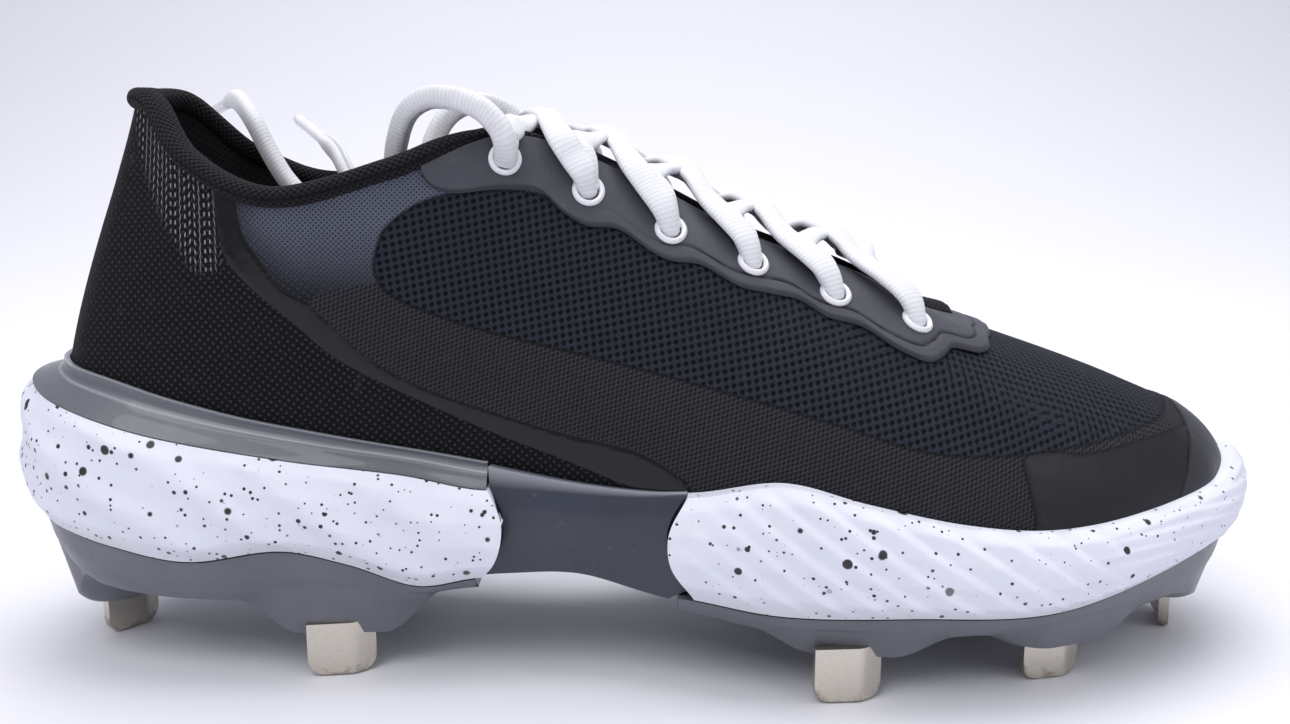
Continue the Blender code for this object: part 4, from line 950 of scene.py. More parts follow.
def steel_material(look):
    """Brushed steel, duller and browner where it touches the ground."""
    g = Graph("cleat_steel", srgb(206, 198, 186), 0.34, metallic=1.0)
    point = g.place()
    brushed = g.noise(g.stretch(point, (1.0, 1.0, 9.0)), 1.2, 4.0, 0.6)
    worn = g.noise(point, 3.0, 6.0, 0.7)
    pits = g.noise(point, 0.5, 3.0)
    foot = g.value("foot")
    colour = g.mix(brushed, srgb(184, 176, 164), srgb(*look.steel_tone))
    wear = g.times(g.step(g.plus(worn, g.times(foot, 0.35)), 0.72, 0.95), 0.7)
    colour = g.mix(wear, colour, srgb(140, 128, 114))
    g.set("Base Color", colour)
    g.set("Roughness", g.blend(wear, 0.30, 0.62))
    g.bump(brushed, 0.03)
    g.bump(pits, 0.05)
    return g.material


# Upper

def relief_at(fields, x, z):
    """How far the panels, seams and creases stand out of the upper's surface, in millimetres."""
    relief = np.zeros_like(x)
    relief += 0.28 * step_between(-0.3, 0.3, fields["strip"])
    relief += 0.35 * step_between(-0.4, 0.4, fields["bumper"])
    relief += 0.30 * step_between(-0.4, 0.4, fields["toe_side"])
    relief -= 0.30 * step_between(-0.6, 0.3, fields["mesh"])
    relief += 0.16 * np.exp(-(fields["mesh"] / 0.9) ** 2)
    for crease in CREASES:
        (ax, az), (bx, bz) = crease["start"], crease["stop"]
        dx, dz = bx - ax, bz - az
        t = ((x - ax) * dx + (z - az) * dz) / (dx * dx + dz * dz)
        away = ((x - ax) * dz - (z - az) * dx) / math.hypot(dx, dz)
        ends = step_between(-0.35, 0.15, t) * step_between(1.35, 0.85, t)
        relief -= crease["depth"] * ends * np.exp(-(away / crease["wide"]) ** 2)
    relief += 0.10 * np.sin(x / 9.0 + z / 13.0) * step_between(60, 90, x)
    return relief


def build_upper(look, fine):
    """One skin with its lining: the outer layer carries the panels, seams and creases."""
    stations = np.linspace(0, ROUND, 640 if fine else 300, endpoint=False)
    shares = np.linspace(0, 1, 104 if fine else 56)
    s, t = np.meshgrid(stations, shares, indexing="ij")
    skin = surface(s, t)
    x, z = skin[..., 0] / MM, skin[..., 2] / MM
    fields = dict(mesh=inside_by(MESH_FIELD, x, z), slate=inside_by(SLATE_FIELD, x, z),
                  strip=inside_by(STRIP_FIELD, x, z), band=inside_by(BAND_FIELD, x, z),
                  toe_side=inside_by(TOE_SIDE_FIELD, x, z), bumper=inside_by(BUMPER_FIELD, x, z),
                  dash=inside_by(DASH_FIELD, x, z))
    fade = step_between(0.0, 0.03, t) * step_between(1.0, 0.97, t)
    relief = relief_at(fields, x, z) * fade * MM
    # The toe guard's cloth lies over the skin and fades out toward its upper line
    from_tip = np.clip(np.abs(s - TOE) / 2.6, 0, 1)
    guard = (1 - from_tip ** 2) * step_between(0.60, 0.35, t) * step_between(0.02, 0.10, t)
    relief += TOE_GUARD_THICKNESS * guard
    outer = off_surface(s, t, relief)
    few = shares[:: 6 if fine else 5]
    few = few if few[-1] == 1.0 else np.append(few, 1.0)
    si, ti = np.meshgrid(stations, few, indexing="ij")
    inner = off_surface(si, ti, np.full(si.shape, -UPPER_WALL))
    points, faces = wrap_shell(outer, inner, True)
    centres = [off_surface(*place, d) for side in (False, True) for place in eyelet_places(side)
               for d in (0.0, -UPPER_WALL)]
    faces = without_holes(points, faces, centres, EYELET_HOLE * 0.95)
    many = inner.shape[1]

    def both(value, inside):
        return np.concatenate((value, np.full((len(stations), many), inside)), axis=1)

    values = {key: both(value, -50.0) for key, value in fields.items()}
    values["low"] = both(step_between(106, 84, z), 0.0)
    values["lining"] = both(np.zeros_like(x), 1.0)
    facing = facing_values(outward(s, t))
    values["facing"] = np.concatenate((facing, facing_values(outward(si, ti))[:, ::-1]), axis=1)
    make_piece("upper_skin", points, faces, upper_material(look), ("upper", "toe_guard"),
               values, sharp=50)


def build_film(look, fine):
    """The slate film on both sides of the throat and across its front, with its groove."""
    stations = np.linspace(FILM_START, ROUND - FILM_START, 620 if fine else 320)
    nearer = np.minimum(stations, ROUND - stations)
    low = share_below(stations, read_line(EYESTAY_EDGE, nearer) * EYESTAY_WIDTH)
    v = np.linspace(0, 1, 54 if fine else 30)
    v = v ** 1.15
    s = stations[:, None] * np.ones(len(v))
    t = low[:, None] + (1.0 - low[:, None]) * v[None, :]
    base = surface(s, t)
    from_low = np.concatenate((np.zeros((len(stations), 1)),
                               np.cumsum(np.linalg.norm(np.diff(base, axis=1), axis=2), axis=1)), axis=1) / MM
    groove = np.exp(-((from_low - 4.2) / 0.45) ** 2) * step_between(6.2, 7.6, nearer)[:, None]
    wide = from_low[:, -1:]
    groove = groove * step_between(5.5, 8.0, wide)
    lift = CLEARANCE + OVERLAY_THICKNESS * step_between(0.0, 0.9, from_low) - GROOVE_DEPTH * groove
    outer = off_surface(s, t, lift)
    si, ti = s[:, ::6], t[:, ::6]
    inner = off_surface(si, ti, np.full(si.shape, 0.0001))
    points, faces = wrap_shell(outer, inner, False)
    centres = [off_surface(*place, d) for side in (False, True) for place in eyelet_places(side)
               for d in (CLEARANCE, CLEARANCE + OVERLAY_THICKNESS)]
    faces = without_holes(points, faces, centres, EYELET_HOLE * 0.95)
    pad = np.zeros((len(stations), inner.shape[1]))
    # The groove mask sets the groove's depth and also carries the groove's painted shade into the material
    values = dict(groove=np.concatenate((groove, pad), axis=1),
                  rim=np.concatenate((np.exp(-(from_low / 0.7) ** 2), pad), axis=1))
    make_piece("eyestay_film", points, faces, film_material(look),
               ("eyestay_lateral", "eyestay_medial"), values, sharp=55)


def build_eyelets(fine):
    """Twelve rings with barrels through film and upper, one piece for each side."""
    material = moulded_material("cleat_ring", srgb(222, 222, 228), srgb(240, 240, 244), 0.38)
    sides = 40 if fine else 24
    film = CLEARANCE + OVERLAY_THICKNESS
    inside = -UPPER_WALL - CLEARANCE
    barrel = EYELET_HOLE + 0.0005
    profile = [(EYELET_HOLE, inside), (EYELET_HOLE, film + 0.0003), (EYELET_HOLE + 0.00025, film + 0.0008),
               (EYELET_HOLE + 0.00075, film + 0.00105), (EYELET_OUTER - 0.0004, film + 0.0008),
               (EYELET_OUTER, film + 0.0004), (EYELET_OUTER, film - 0.0001), (barrel, film - 0.0001),
               (barrel, inside)]
    for inner_side, tag in ((False, "lateral"), (True, "medial")):
        points, faces = [], []
        for station, share in eyelet_places(inner_side):
            centre = surface(station, share)
            normal = outward(station, share)
            first = unit(surface(station + 0.02, share) - surface(station - 0.02, share))
            second = np.cross(normal, first)
            base = len(points)
            for r, h in profile + profile[:1]:
                for k in range(sides):
                    a = 2 * math.pi * k / sides
                    points.append(centre + normal * h + (first * math.cos(a) + second * math.sin(a)) * r)
            faces += tube_faces(len(profile) + 1, sides, base, caps=False)
        nodes = ["eyelet_%s_%d" % (tag, k + 1) for k in range(len(EYELETS))]
        make_piece("eyelets_" + tag, points, faces, material, nodes)


def build_collar(look, fine):
    """The padded roll along the collar, fuller at the heel, its ends tucked down."""
    roll = look.collar_roll
    stations = np.linspace(-COLLAR_END, COLLAR_END, 440 if fine else 240)
    edge = off_surface(stations % ROUND, 1.0, np.full(stations.shape, -0.5 * UPPER_WALL))
    up = unit(surface(stations % ROUND, 1.0) - surface(stations % ROUND, 0.97))
    away = np.abs(stations)
    full = 1.0 + 0.10 * np.exp(-(stations / 2.2) ** 2) - 0.42 * step_between(5.3, 6.0, away)
    ends = np.sqrt(np.clip(1 - ((away - 6.3).clip(0) / 0.31) ** 2, 0.04, 1))
    path = edge + up * (0.5 * roll * full - COLLAR_SEAT)[:, None]
    ripple = 1 + 0.02 * np.sin(stations * 9.0)
    wide = 1.25 * roll * full * ends
    rows = tube_rows(path, wide, roll * full * ends * ripple, up, 28 if fine else 18, 2.2)
    faces = tube_faces(*rows.shape[:2])
    material = knit_material("cleat_collar", srgb(8, 8, 10), srgb(36, 36, 41), 1.5, 1.4, 0.22, 0.04)
    piece = make_piece("collar_roll", rows, faces, material, ("collar",), woven_values(rows))


def build_tongue(fine):
    """A padded tongue with two long channels."""
    depth = -(UPPER_WALL + 2 * CLEARANCE)
    stations = np.linspace(5.75, 10.6, 220 if fine else 110)
    wing = 0.18 + 0.06 * step_between(9.9, 9.1, stations)[:, None]
    share = 1.0 - wing * np.linspace(1, 0, 18)[None, :]
    s = stations[:, None] * np.ones(share.shape[1])
    layers = []
    for thick in (0.0, -TONGUE_THICKNESS):
        outer = off_surface(s, share, np.full(s.shape, depth + thick))
        inner = off_surface(ROUND - s, share, np.full(s.shape, depth + thick))[:, ::-1]
        t = np.linspace(0, 1, 26)[1:-1]
        middle = outer[:, -1:] + (inner[:, :1] - outer[:, -1:]) * t[None, :, None]
        pad = TONGUE_CROWN * 4 * t * (1 - t)
        if thick == 0.0:
            for channel in (0.25, 0.75):
                pad = pad - TONGUE_CHANNEL * np.exp(-((t - channel) / 0.03) ** 2)
            pad = pad - TONGUE_RIPPLE * np.cos(stations[:, None] * 9.0) * np.sin(math.pi * t)[None, :]
        middle[..., 2] += pad
        layers.append(np.concatenate((outer, middle, inner), axis=1))
    points, faces = wrap_shell(layers[0], layers[1], False)
    values = woven_values(points)
    material = knit_material("cleat_tongue", srgb(10, 10, 13), srgb(38, 39, 45), 1.5, 1.4, 0.18, 0.04)
    piece = make_piece("tongue_pad", points, faces, material, ("tongue",), values, sharp=60)
    # A loop across the front of the throat: station, how far back and how far up it stands
    bow = [(11.2, 0.0, 0.0006), (11.9, -0.0020, 0.0022), (13.0, -0.0035, 0.0030),
           (14.1, -0.0020, 0.0022), (14.8, 0.0, 0.0006)]
    route = resample([surface(station, 1.0) + (back, 0.0, up) for station, back, up in bow], 0.0006)
    rows = tube_rows(route, LOOP_WIDTH, LOOP_THICKNESS, (0.2, 0.0, 1.0), 14, 3.5)
    faces = tube_faces(*rows.shape[:2])
    make_piece("throat_loop", rows, faces, material, (), woven_values(rows))


# Sole

def swept_side(makers, start, stop, columns):
    """Rows of points from each maker between its start and stop, or round the heel or toe."""
    rows = []
    for maker, x0, x1 in zip(makers, start, stop):
        if x0 is None:
            reach = end_station(maker, x1, False), end_station(maker, x1, True)
            stations = np.linspace(-reach[1], reach[0], columns) % ROUND
        else:
            reach = end_station(maker, x0, False), end_station(maker, x0, True)
            stations = np.linspace(reach[0], ROUND - reach[1], columns)
        rows.append(maker(stations))
    return np.stack(rows, axis=1)


def nose_x(nose, level):
    """Where a foam ends toward the waist at a level, and how high that is."""
    x = read_line(nose, 0.75) * LENGTH
    for _ in range(20):
        up = foam_foot(x) + level * (foam_rim(x) - foam_foot(x))
        x = read_line(nose, up / FOAM_RIM_HEIGHT) * LENGTH
    return float(x), float(up)


def capped(name, points, material, nodes, values, sharp=40, side_count=None):
    """Closes a swept section; with side_count its ends are filled between its side and its hollow."""
    wide, tall = points.shape[:2]
    faces = tube_faces(wide, tall, caps=side_count is None)
    points = points.reshape(-1, 3)
    if side_count:
        for column in (0, wide - 1):
            ring = points[column * tall:(column + 1) * tall]
            t = np.linspace(0, 1, side_count)
            hollow = np.stack([np.interp(t, (0.0, 0.5, 1.0), ring[[-1, -2, -3], axis])
                               for axis in range(3)], axis=1)
            side = ring[:side_count, None]
            inward = np.linspace(0, 1, 5)[None, :, None]
            fill = side + (hollow[:, None] - side) * inward
            faces += grid_faces(side_count, 5, base=len(points))
            points = np.concatenate((points, fill.reshape(-1, 3)))
    values = {key: np.append(np.asarray(value).reshape(-1), np.zeros(len(points) - wide * tall))
              for key, value in values.items()}
    return make_piece(name, points, faces, material, nodes, values, sharp=sharp)


def foam_relief(x, z, level, heel):
    """Soft waves on the heel foam, sharp slanting ridges on the forefoot foam."""
    if heel:
        wave = 0.5 + 0.5 * np.sin(2 * math.pi * (0.57 * x + 0.82 * z + 1.6 * np.sin(x / 11.0)) / 12.5)
        high = 1.05 * wave ** 1.6
    else:
        phase = ((0.57 * x + 0.82 * z) / 5.4 + 0.10 * np.sin(x / 14.0)) % 1.0
        high = 0.95 * np.where(phase < 0.72, phase / 0.72, (1 - phase) / 0.28) * step_between(262, 246, x)
        toe = (z / 2.6 + 0.12 * np.sin(x / 9.0)) % 1.0
        high = high + 0.42 * np.where(toe < 0.7, toe / 0.7, (1 - toe) / 0.3) * step_between(246, 262, x)
    return high * step_between(0.0, 0.14, level) * step_between(1.0, 0.90, level) * MM


def build_foam(look, fine, heel):
    """One foam with its relief, hollow toward the upper and rounded at the waist."""
    levels = np.linspace(0, 1, 44 if fine else 24)
    nose = HEEL_NOSE if heel else FORE_NOSE
    insets = np.interp(levels, *np.array(FOAM_SIDE).T)
    makers = [level_maker(inset, lambda x, level=level: level, foam_foot, foam_rim)
              for level, inset in zip(levels, insets)]
    ends = [nose_x(nose, level)[0] for level in levels]

    def between(x):
        return 0.5 * (foam_rim(x) + footbed(x))

    makers += [lambda station: wall_point(station, foam_rim, CLEARANCE),
               lambda station: wall_point(station, between, CLEARANCE), bed_point]
    ends += [ends[-1]] * 3
    nothing = [None] * len(makers)
    columns = 900 if fine else 400
    starts, stops = (nothing, ends) if heel else (ends, nothing)
    points = swept_side(makers, starts, stops, columns)
    x, z = points[..., 0] / MM, points[..., 2] / MM
    count = len(levels)
    step = np.gradient(points[:, :count], axis=0)
    out = np.stack((step[..., 1], -step[..., 0], np.zeros(step.shape[:2])), axis=-1)
    from_end = np.minimum(np.arange(columns), np.arange(columns)[::-1])
    fade = np.minimum(1, from_end / (0.06 * columns))[:, None, None]
    relief = foam_relief(x[:, :count], z[:, :count], levels[None, :], heel)
    points[:, :count] += unit(out) * relief[..., None] * fade
    low_down = np.zeros(x.shape)
    low_down[:, :count] = step_between(0.18, 0.0, levels)[None, :]
    name = "heel" if heel else "forefoot"
    material = foam_material("cleat_foam_" + name, 1.0 if heel else 0.8, look)
    capped("foam_" + name, points, material, ("midsole_" + name,), dict(foot=low_down), 48,
           side_count=count)


def build_bridge(look):
    """The slate piece at the waist, its ends following the two foams' noses."""
    levels = np.linspace(0, 1, 20)
    makers, starts, stops = [], [], []
    for k, level in enumerate(levels):
        x0, up0 = nose_x(HEEL_NOSE, level)
        x1, up1 = nose_x(FORE_NOSE, level)
        x0 += BRIDGE_END_GAP
        x1 -= BRIDGE_END_GAP
        if k == 0:
            up0, up1, x1 = arch(x0), arch(x1), BRIDGE_SILL_REACH
        level0 = (up0 - arch(x0)) / (bridge_rim(x0) - arch(x0))
        level1 = (up1 - arch(x1)) / (bridge_rim(x1) - arch(x1))

        def level_of(x, level0=level0, level1=level1, x0=x0, x1=x1):
            return level0 + (level1 - level0) * (x - x0) / (x1 - x0)

        inset = BRIDGE_INSET + BRIDGE_DISH * (2 * level - 1) ** 2
        makers.append(level_maker(inset, level_of, arch, bridge_rim))
        starts.append(x0)
        stops.append(x1)
    makers.append(level_maker(BRIDGE_INSET + BRIDGE_TOP_INSET, lambda x: 1.0, arch, bridge_rim))
    makers.append(lambda station: wall_point(station, bridge_rim, CLEARANCE))
    makers.append(bed_point)
    starts += [CLIP_REACH + CLEARANCE, starts[-1] + CLEARANCE, starts[-1] + CLEARANCE]
    stops += [stops[-1]] * 3
    halves = []
    for inner_side in (False, True):
        rows = []
        for maker, x0, x1 in zip(makers, starts, stops):
            near, far = end_station(maker, x0, inner_side), end_station(maker, x1, inner_side)
            stations = np.linspace(near, far, 60)
            rows.append(maker(ROUND - stations if inner_side else stations))
        halves.append(np.stack(rows, axis=1))
    outer, inner = halves
    around_it = np.concatenate((outer, inner[:, ::-1]), axis=1)
    accent = np.zeros(outer.shape[:2])
    accent[:, -3] = 0.8
    accent = np.concatenate((accent, accent[:, ::-1]), axis=1)
    material = moulded_material("cleat_bridge", srgb(33, 38, 51), srgb(*look.bridge_tone), 0.36,
                                srgb(150, 152, 160), 0.02, 0.25)
    capped("bridge_shell", around_it, material, ("midfoot_bridge",), dict(accent=accent), 45)


def build_clip(look, fine):
    """The grey clip round the heel: a concave band over a sharp crease, with a painted highlight along the
    crease.
    """
    def low(x):
        return foam_rim(x) + CLEARANCE

    def up_at(level):
        return lambda x: low(x) + level * (clip_top(x) - low(x))

    def wall_at(level, proud):
        share = min(1.0, level / CLIP_FULL_LEVEL)
        up_of = up_at(level)

        def maker(station):
            foot = outline_point(station, FOAM_SIDE[-1][1], low)
            point = (1 - share) * foot + share * wall_point(station, up_of, CLEARANCE + proud)
            point += 0.35 * share * (1 - share) * (foot - point)
            point[..., 2] = up_of(point[..., 0])
            return point
        return maker

    levels = np.linspace(0, 1, 30 if fine else 18)
    crest = CLIP_CREST * np.exp(-((levels - 0.56) / 0.07) ** 2)
    hollow = CLIP_HOLLOW * np.exp(-((levels - 0.80) / 0.10) ** 2)
    makers = [lambda station: wall_point(station, low, CLEARANCE)]
    makers += [wall_at(level, CLIP_BAND + a - b) for level, a, b in zip(levels, crest, hollow)]
    makers += [lambda station: wall_point(station, clip_top, CLEARANCE),
               lambda station: wall_point(station, up_at(CLIP_FULL_LEVEL), CLEARANCE)]
    picked = np.unique(np.append(np.arange(0, len(makers), 6), [1, len(levels), len(makers) - 1]))
    reaches = [[end_station(makers[k], CLIP_REACH, inner) for k in picked] for inner in (False, True)]
    outer_reach, inner_reach = (np.interp(np.arange(len(makers)), picked, reach) for reach in reaches)
    columns = 420 if fine else 220
    points = np.stack([maker(np.linspace(-b, a, columns) % ROUND)
                       for maker, a, b in zip(makers, outer_reach, inner_reach)], axis=1)
    # Painted highlight: a pale line along the crease, plus a pale line along the top edge, both in the
    # material's pale tone
    accent = np.zeros(points.shape[:2])
    accent[:, 1:len(levels) + 1] = 0.55 * np.exp(-((levels - 0.57) / 0.035) ** 2) + 0.75 * (levels > 0.985)
    material = moulded_material("cleat_clip", srgb(78, 80, 88), srgb(*look.clip_tone), 0.34,
                                srgb(172, 174, 182), 0.03, 0.3)
    capped("clip_shell", points, material, ("heel_clip",), dict(accent=accent), 45)


def build_plate(look, fine, heel):
    """A sole plate whose underside swells smoothly into the studs' mounds."""
    studs = HEEL_STUDS if heel else FORE_STUDS
    round_count = 520 if fine else 260

    def under_foam(x):
        return foam_foot(x) - SOLE_GAP

    x_low, x_high = (-1, HEEL_PLATE_REACH) if heel else (FORE_PLATE_START, 1)
    columns = 190 if fine else 100
    across = np.linspace(-1, 1, 81 if fine else 45)

    def half_width(x, inset, inner_side):
        side = np.linspace(0.02, TOE - 0.02, 500)
        place = outline_point(ROUND - side if inner_side else side, inset)
        order = np.argsort(place[:, 0])
        return np.interp(x, place[order, 0], place[order, 1])

    layers = []
    for layer in ("bottom", "top"):
        inset = PLATE_SIDE[-1][1] if layer == "bottom" else PLATE_SIDE[0][1]
        end = PLATE_END_INSET + (PLATE_BEVEL if layer == "bottom" else 0.0)
        gx = np.linspace(max(end, x_low), min(LENGTH - end, x_high), columns)
        y0 = half_width(gx, inset, False)
        y1 = half_width(gx, inset, True)
        y = y0[:, None] + (y1 - y0)[:, None] * (0.5 + 0.5 * across)[None, :]
        x = gx[:, None] * np.ones(across.shape)
        z = plate_bottom(x) if layer == "bottom" else under_foam(x)
        if layer == "bottom":
            for stud in studs:
                turn = math.radians(stud["turn"])
                dx, dy = x - stud["along"] * LENGTH, y - stud["across"] * BALL_WIDTH
                a = dx * math.cos(turn) + dy * math.sin(turn)
                b = -dx * math.sin(turn) + dy * math.cos(turn)
                far = np.sqrt((a / (0.74 * BOSS_LENGTH)) ** 2 + (b / (0.90 * BOSS_WIDTH)) ** 2)
                z = z - (z - BOSS_HEIGHT) * step_between(1.0, 0.42, far)
        layers.append(np.stack((x, y, z), axis=-1))
    points, faces = wrap_shell(layers[0], layers[1], False)
    points = points.reshape(-1, 3)
    levels = np.linspace(0, 1, 16)
    makers = [level_maker(inset, lambda x, level=level: level, under_foam, plate_bottom)
              for level, inset in zip(levels, np.interp(levels, *np.array(PLATE_SIDE).T))]
    nothing = [None] * len(makers)
    if heel:
        band = swept_side(makers, nothing, [HEEL_PLATE_REACH] * len(makers), round_count)
    else:
        band = swept_side(makers, [FORE_PLATE_START] * len(makers), nothing, round_count)
    faces += grid_faces(*band.shape[:2], base=len(points))
    points = np.concatenate((points, band.reshape(-1, 3)))
    accent = np.zeros(len(points))
    name = "heel_plate" if heel else "forefoot_plate"
    material = bpy.data.materials.get("cleat_plate") or moulded_material(
        "cleat_plate", srgb(80, 82, 90), srgb(*look.plate_tone), 0.40, srgb(170, 172, 180), 0.05, 0.15)
    make_piece(name + "_shell", points, faces, material, (name,), dict(accent=accent), sharp=40)


def build_studs(look):
    """Bent blades with rounded corners and worn lower edges."""
    material = steel_material(look)
    for stud in HEEL_STUDS + FORE_STUDS:
        turn, x0, y0 = math.radians(stud["turn"]), stud["along"] * LENGTH, stud["across"] * BALL_WIDTH
        top = BOSS_HEIGHT + BLADE_ROOT
        width, radius, fold = BLADE_WIDTH, 0.22 * BLADE_WIDTH, 0.16 * BLADE_WIDTH
        xs = np.linspace(-0.5 * width, 0.5 * width, 61)
        edge = np.clip(np.abs(xs) - (0.5 * width - radius), 0, radius)
        foot = radius - np.sqrt(np.clip(radius ** 2 - edge ** 2, 0, None))
        bend = 0.5 * BLADE_BEND * (1 + np.tanh((xs - fold) / BLADE_FOLD_RADIUS))
        path = np.zeros((len(xs), 2))
        steps = np.diff(xs)
        path[1:, 0] = np.cumsum(steps * np.cos(bend[1:]))
        path[1:, 1] = np.cumsum(steps * np.sin(bend[1:]))
        middle = np.argmin(np.abs(xs))
        path -= path[middle]
        across = np.stack((-np.sin(bend), np.cos(bend)), axis=-1)
        # Side and height of each corner: a small height is in metres, a larger one a share of the blade
        section = [(-1.0, BLADE_CHAMFER), (-1.0, 0.4), (-1.0, 1.0), (1.0, 1.0), (1.0, 0.4),
                   (1.0, BLADE_CHAMFER), (0.72, 0.0), (-0.72, 0.0)]
        rows, wear = [], []
        for k, x in enumerate(xs):
            ring = []
            for side, h in section:
                z = foot[k] + (h if h < 0.001 else h * (top - foot[k]))
                flat = path[k] + across[k] * side * 0.5 * BLADE_THICKNESS
                ring.append((flat[0] * math.cos(turn) - flat[1] * math.sin(turn) + x0,
                             flat[0] * math.sin(turn) + flat[1] * math.cos(turn) + y0, z))
                wear.append(1.0 - min(1.0, h * 2.5))
            rows.append(ring)
        rows = np.array(rows)
        capped(stud["name"] + "_blade", rows, material, (stud["name"],), dict(foot=wear), 30)


# Laces

def lace_bar(start, stop, higher, thickness):
    """A flat lace out of one eyelet, over the throat and down to the next eyelet up."""
    lift = CLEARANCE + OVERLAY_THICKNESS + LACE_STAND + 0.5 * thickness
    side_a, side_b = (min(place[0], ROUND - place[0]) for place in (start, stop))
    near = side_a + (side_b - side_a) * 0.15
    far = side_a + (side_b - side_a) * 0.88
    near, far = (near, ROUND - far) if start[0] < TOE else (ROUND - near, far)
    toward = 0.5 * (start[1] + 1.0)
    path = [off_surface(*start, LACE_DEPTH), off_surface(*start, LACE_OUT),
            off_surface(0.8 * start[0] + 0.2 * near, 0.8 * start[1] + 0.2, lift * 0.95),
            off_surface(0.4 * start[0] + 0.6 * near, toward, lift + 0.0002), off_surface(near, 1.0, lift)]
    hints = [outward(*start), outward(*start), outward(*start), outward(near, toward), outward(near, 1.0)]
    edge_b = off_surface(far, 1.0, lift * 0.8)
    edge_a = path[-1]
    for t in (0.3, 0.5, 0.7):
        point = edge_a + (edge_b - edge_a) * t
        up = LACE_ARCH * 4 * t * (1 - t) + (LACE_OVER if higher else LACE_UNDER)
        point = point + np.array((0.0, 0.0, up))
        path.append(point)
        hints.append(np.array((0.0, 0.0, 1.0)))
    path += [edge_b, off_surface(0.5 * (far + stop[0]), 0.5 * (1 + stop[1]), lift * 0.85),
             off_surface(*stop, LACE_DOWN)]
    hints += [outward(far, 1.0), outward(*stop), outward(*stop)]
    return np.array(path), np.array(hints)


def build_laces(look):
    """The crossings, one mesh, and the two free ends with their aglets."""
    material = lace_material(look)
    lateral, medial = eyelet_places(False), eyelet_places(True)
    pairs = [(lateral[-1], medial[-1], False)]
    for k in range(len(EYELETS) - 1, 0, -1):
        pairs.append((lateral[k], medial[k - 1], True))
        pairs.append((medial[k], lateral[k - 1], False))
    points, faces, run, girth = [], [], [], []
    for start, stop, higher in pairs:
        path, hints = lace_bar(start, stop, higher, look.lace_thickness)
        route = resample(path, 0.0005)
        along = np.linspace(0, len(path) - 1, len(route))
        turned = np.stack([np.interp(along, np.arange(len(path)), hints[:, axis])
                           for axis in range(3)], axis=1)
        gone = np.linspace(0, 1, len(route))
        pinch = 1 - 0.38 * np.exp(-(gone / 0.09) ** 2) - 0.25 * np.exp(-((1 - gone) / 0.07) ** 2)
        thick = look.lace_thickness * (0.72 + 0.35 * (1 - pinch))
        rows = tube_rows(route, look.lace_width * pinch, thick, turned, 22, 2.3)
        values = woven_values(rows)
        faces += tube_faces(*rows.shape[:2], base=sum(len(p) for p in points))
        points.append(rows.reshape(-1, 3))
        run.append(values["run"].reshape(-1))
        girth.append(values["girth"].reshape(-1))
    values = dict(run=np.concatenate(run), girth=np.concatenate(girth))
    make_piece("laces_crossed", np.concatenate(points), faces, material, ("lace_crossings",),
               values, merge=False)
    plastic = moulded_material("cleat_aglet", srgb(214, 214, 220), srgb(238, 238, 242), 0.22, None, 0.01, 0.5)
    free_ends = ("lateral", lateral[0], LACE_END_LATERAL), ("medial", medial[0], LACE_END_MEDIAL)
    for tag, place, drawn in free_ends:
        hole = [off_surface(*place, depth) for depth in (0.0004, 0.0030)]
        route = resample(np.concatenate((hole, np.array(drawn[1:]) * MM)), 0.0009)
        wide = np.full(len(route), FREE_LACE_WIDTH)
        wide[-8:] = np.linspace(FREE_LACE_WIDTH, AGLET_DIAMETER, 8)
        tangent = unit(np.gradient(route, axis=0))
        steady = [unit(np.cross(np.cross(tangent[0], (0.25, 0.0, 1.0)), tangent[0]))]
        for direction in tangent[1:]:
            steady.append(unit(steady[-1] - direction * np.dot(steady[-1], direction)))
        rows = tube_rows(route, wide, np.minimum(wide, FREE_LACE_THICKNESS), np.array(steady), 20, 2.6)
        marks = np.linspace(-0.0006, AGLET_LENGTH + CLEARANCE, 14)
        aglet_route = route[-1] + tangent[-1] * marks[:, None]
        sizes = np.full(len(marks), AGLET_DIAMETER)
        sizes[-2:] = (0.92 * AGLET_DIAMETER, 0.6 * AGLET_DIAMETER)
        tip = tube_rows(aglet_route, sizes, sizes, np.broadcast_to(steady[-1], aglet_route.shape), 18)
        aglet = make_piece("aglet_tip_" + tag, tip, tube_faces(*tip.shape[:2]), plastic,
                           ("aglet_" + tag,), merge=False)
        lace = make_piece("lace_free_" + tag, rows, tube_faces(*rows.shape[:2]), material,
                          ("lace_end_" + tag,), woven_values(rows), merge=False)


def dress_insole():
    """Gives the insole's own solid a fine cloth."""
    g = Graph("cleat_insole", srgb(26, 26, 29), 0.92)
    point = g.place()
    x, y, z = g.split(point)
    weave = g.lattice(x, y, 1.6, 1.4)
    g.set("Base Color", g.mix(g.step(weave, -0.4, 0.6), srgb(38, 38, 42), srgb(18, 18, 20)))
    g.bump(weave, 0.15)
    g.bump(g.noise(point, 0.4, 3.0), 0.1)
    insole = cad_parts["insole"]
    insole.data.materials.clear()
    insole.data.materials.append(g.material)


# Stage

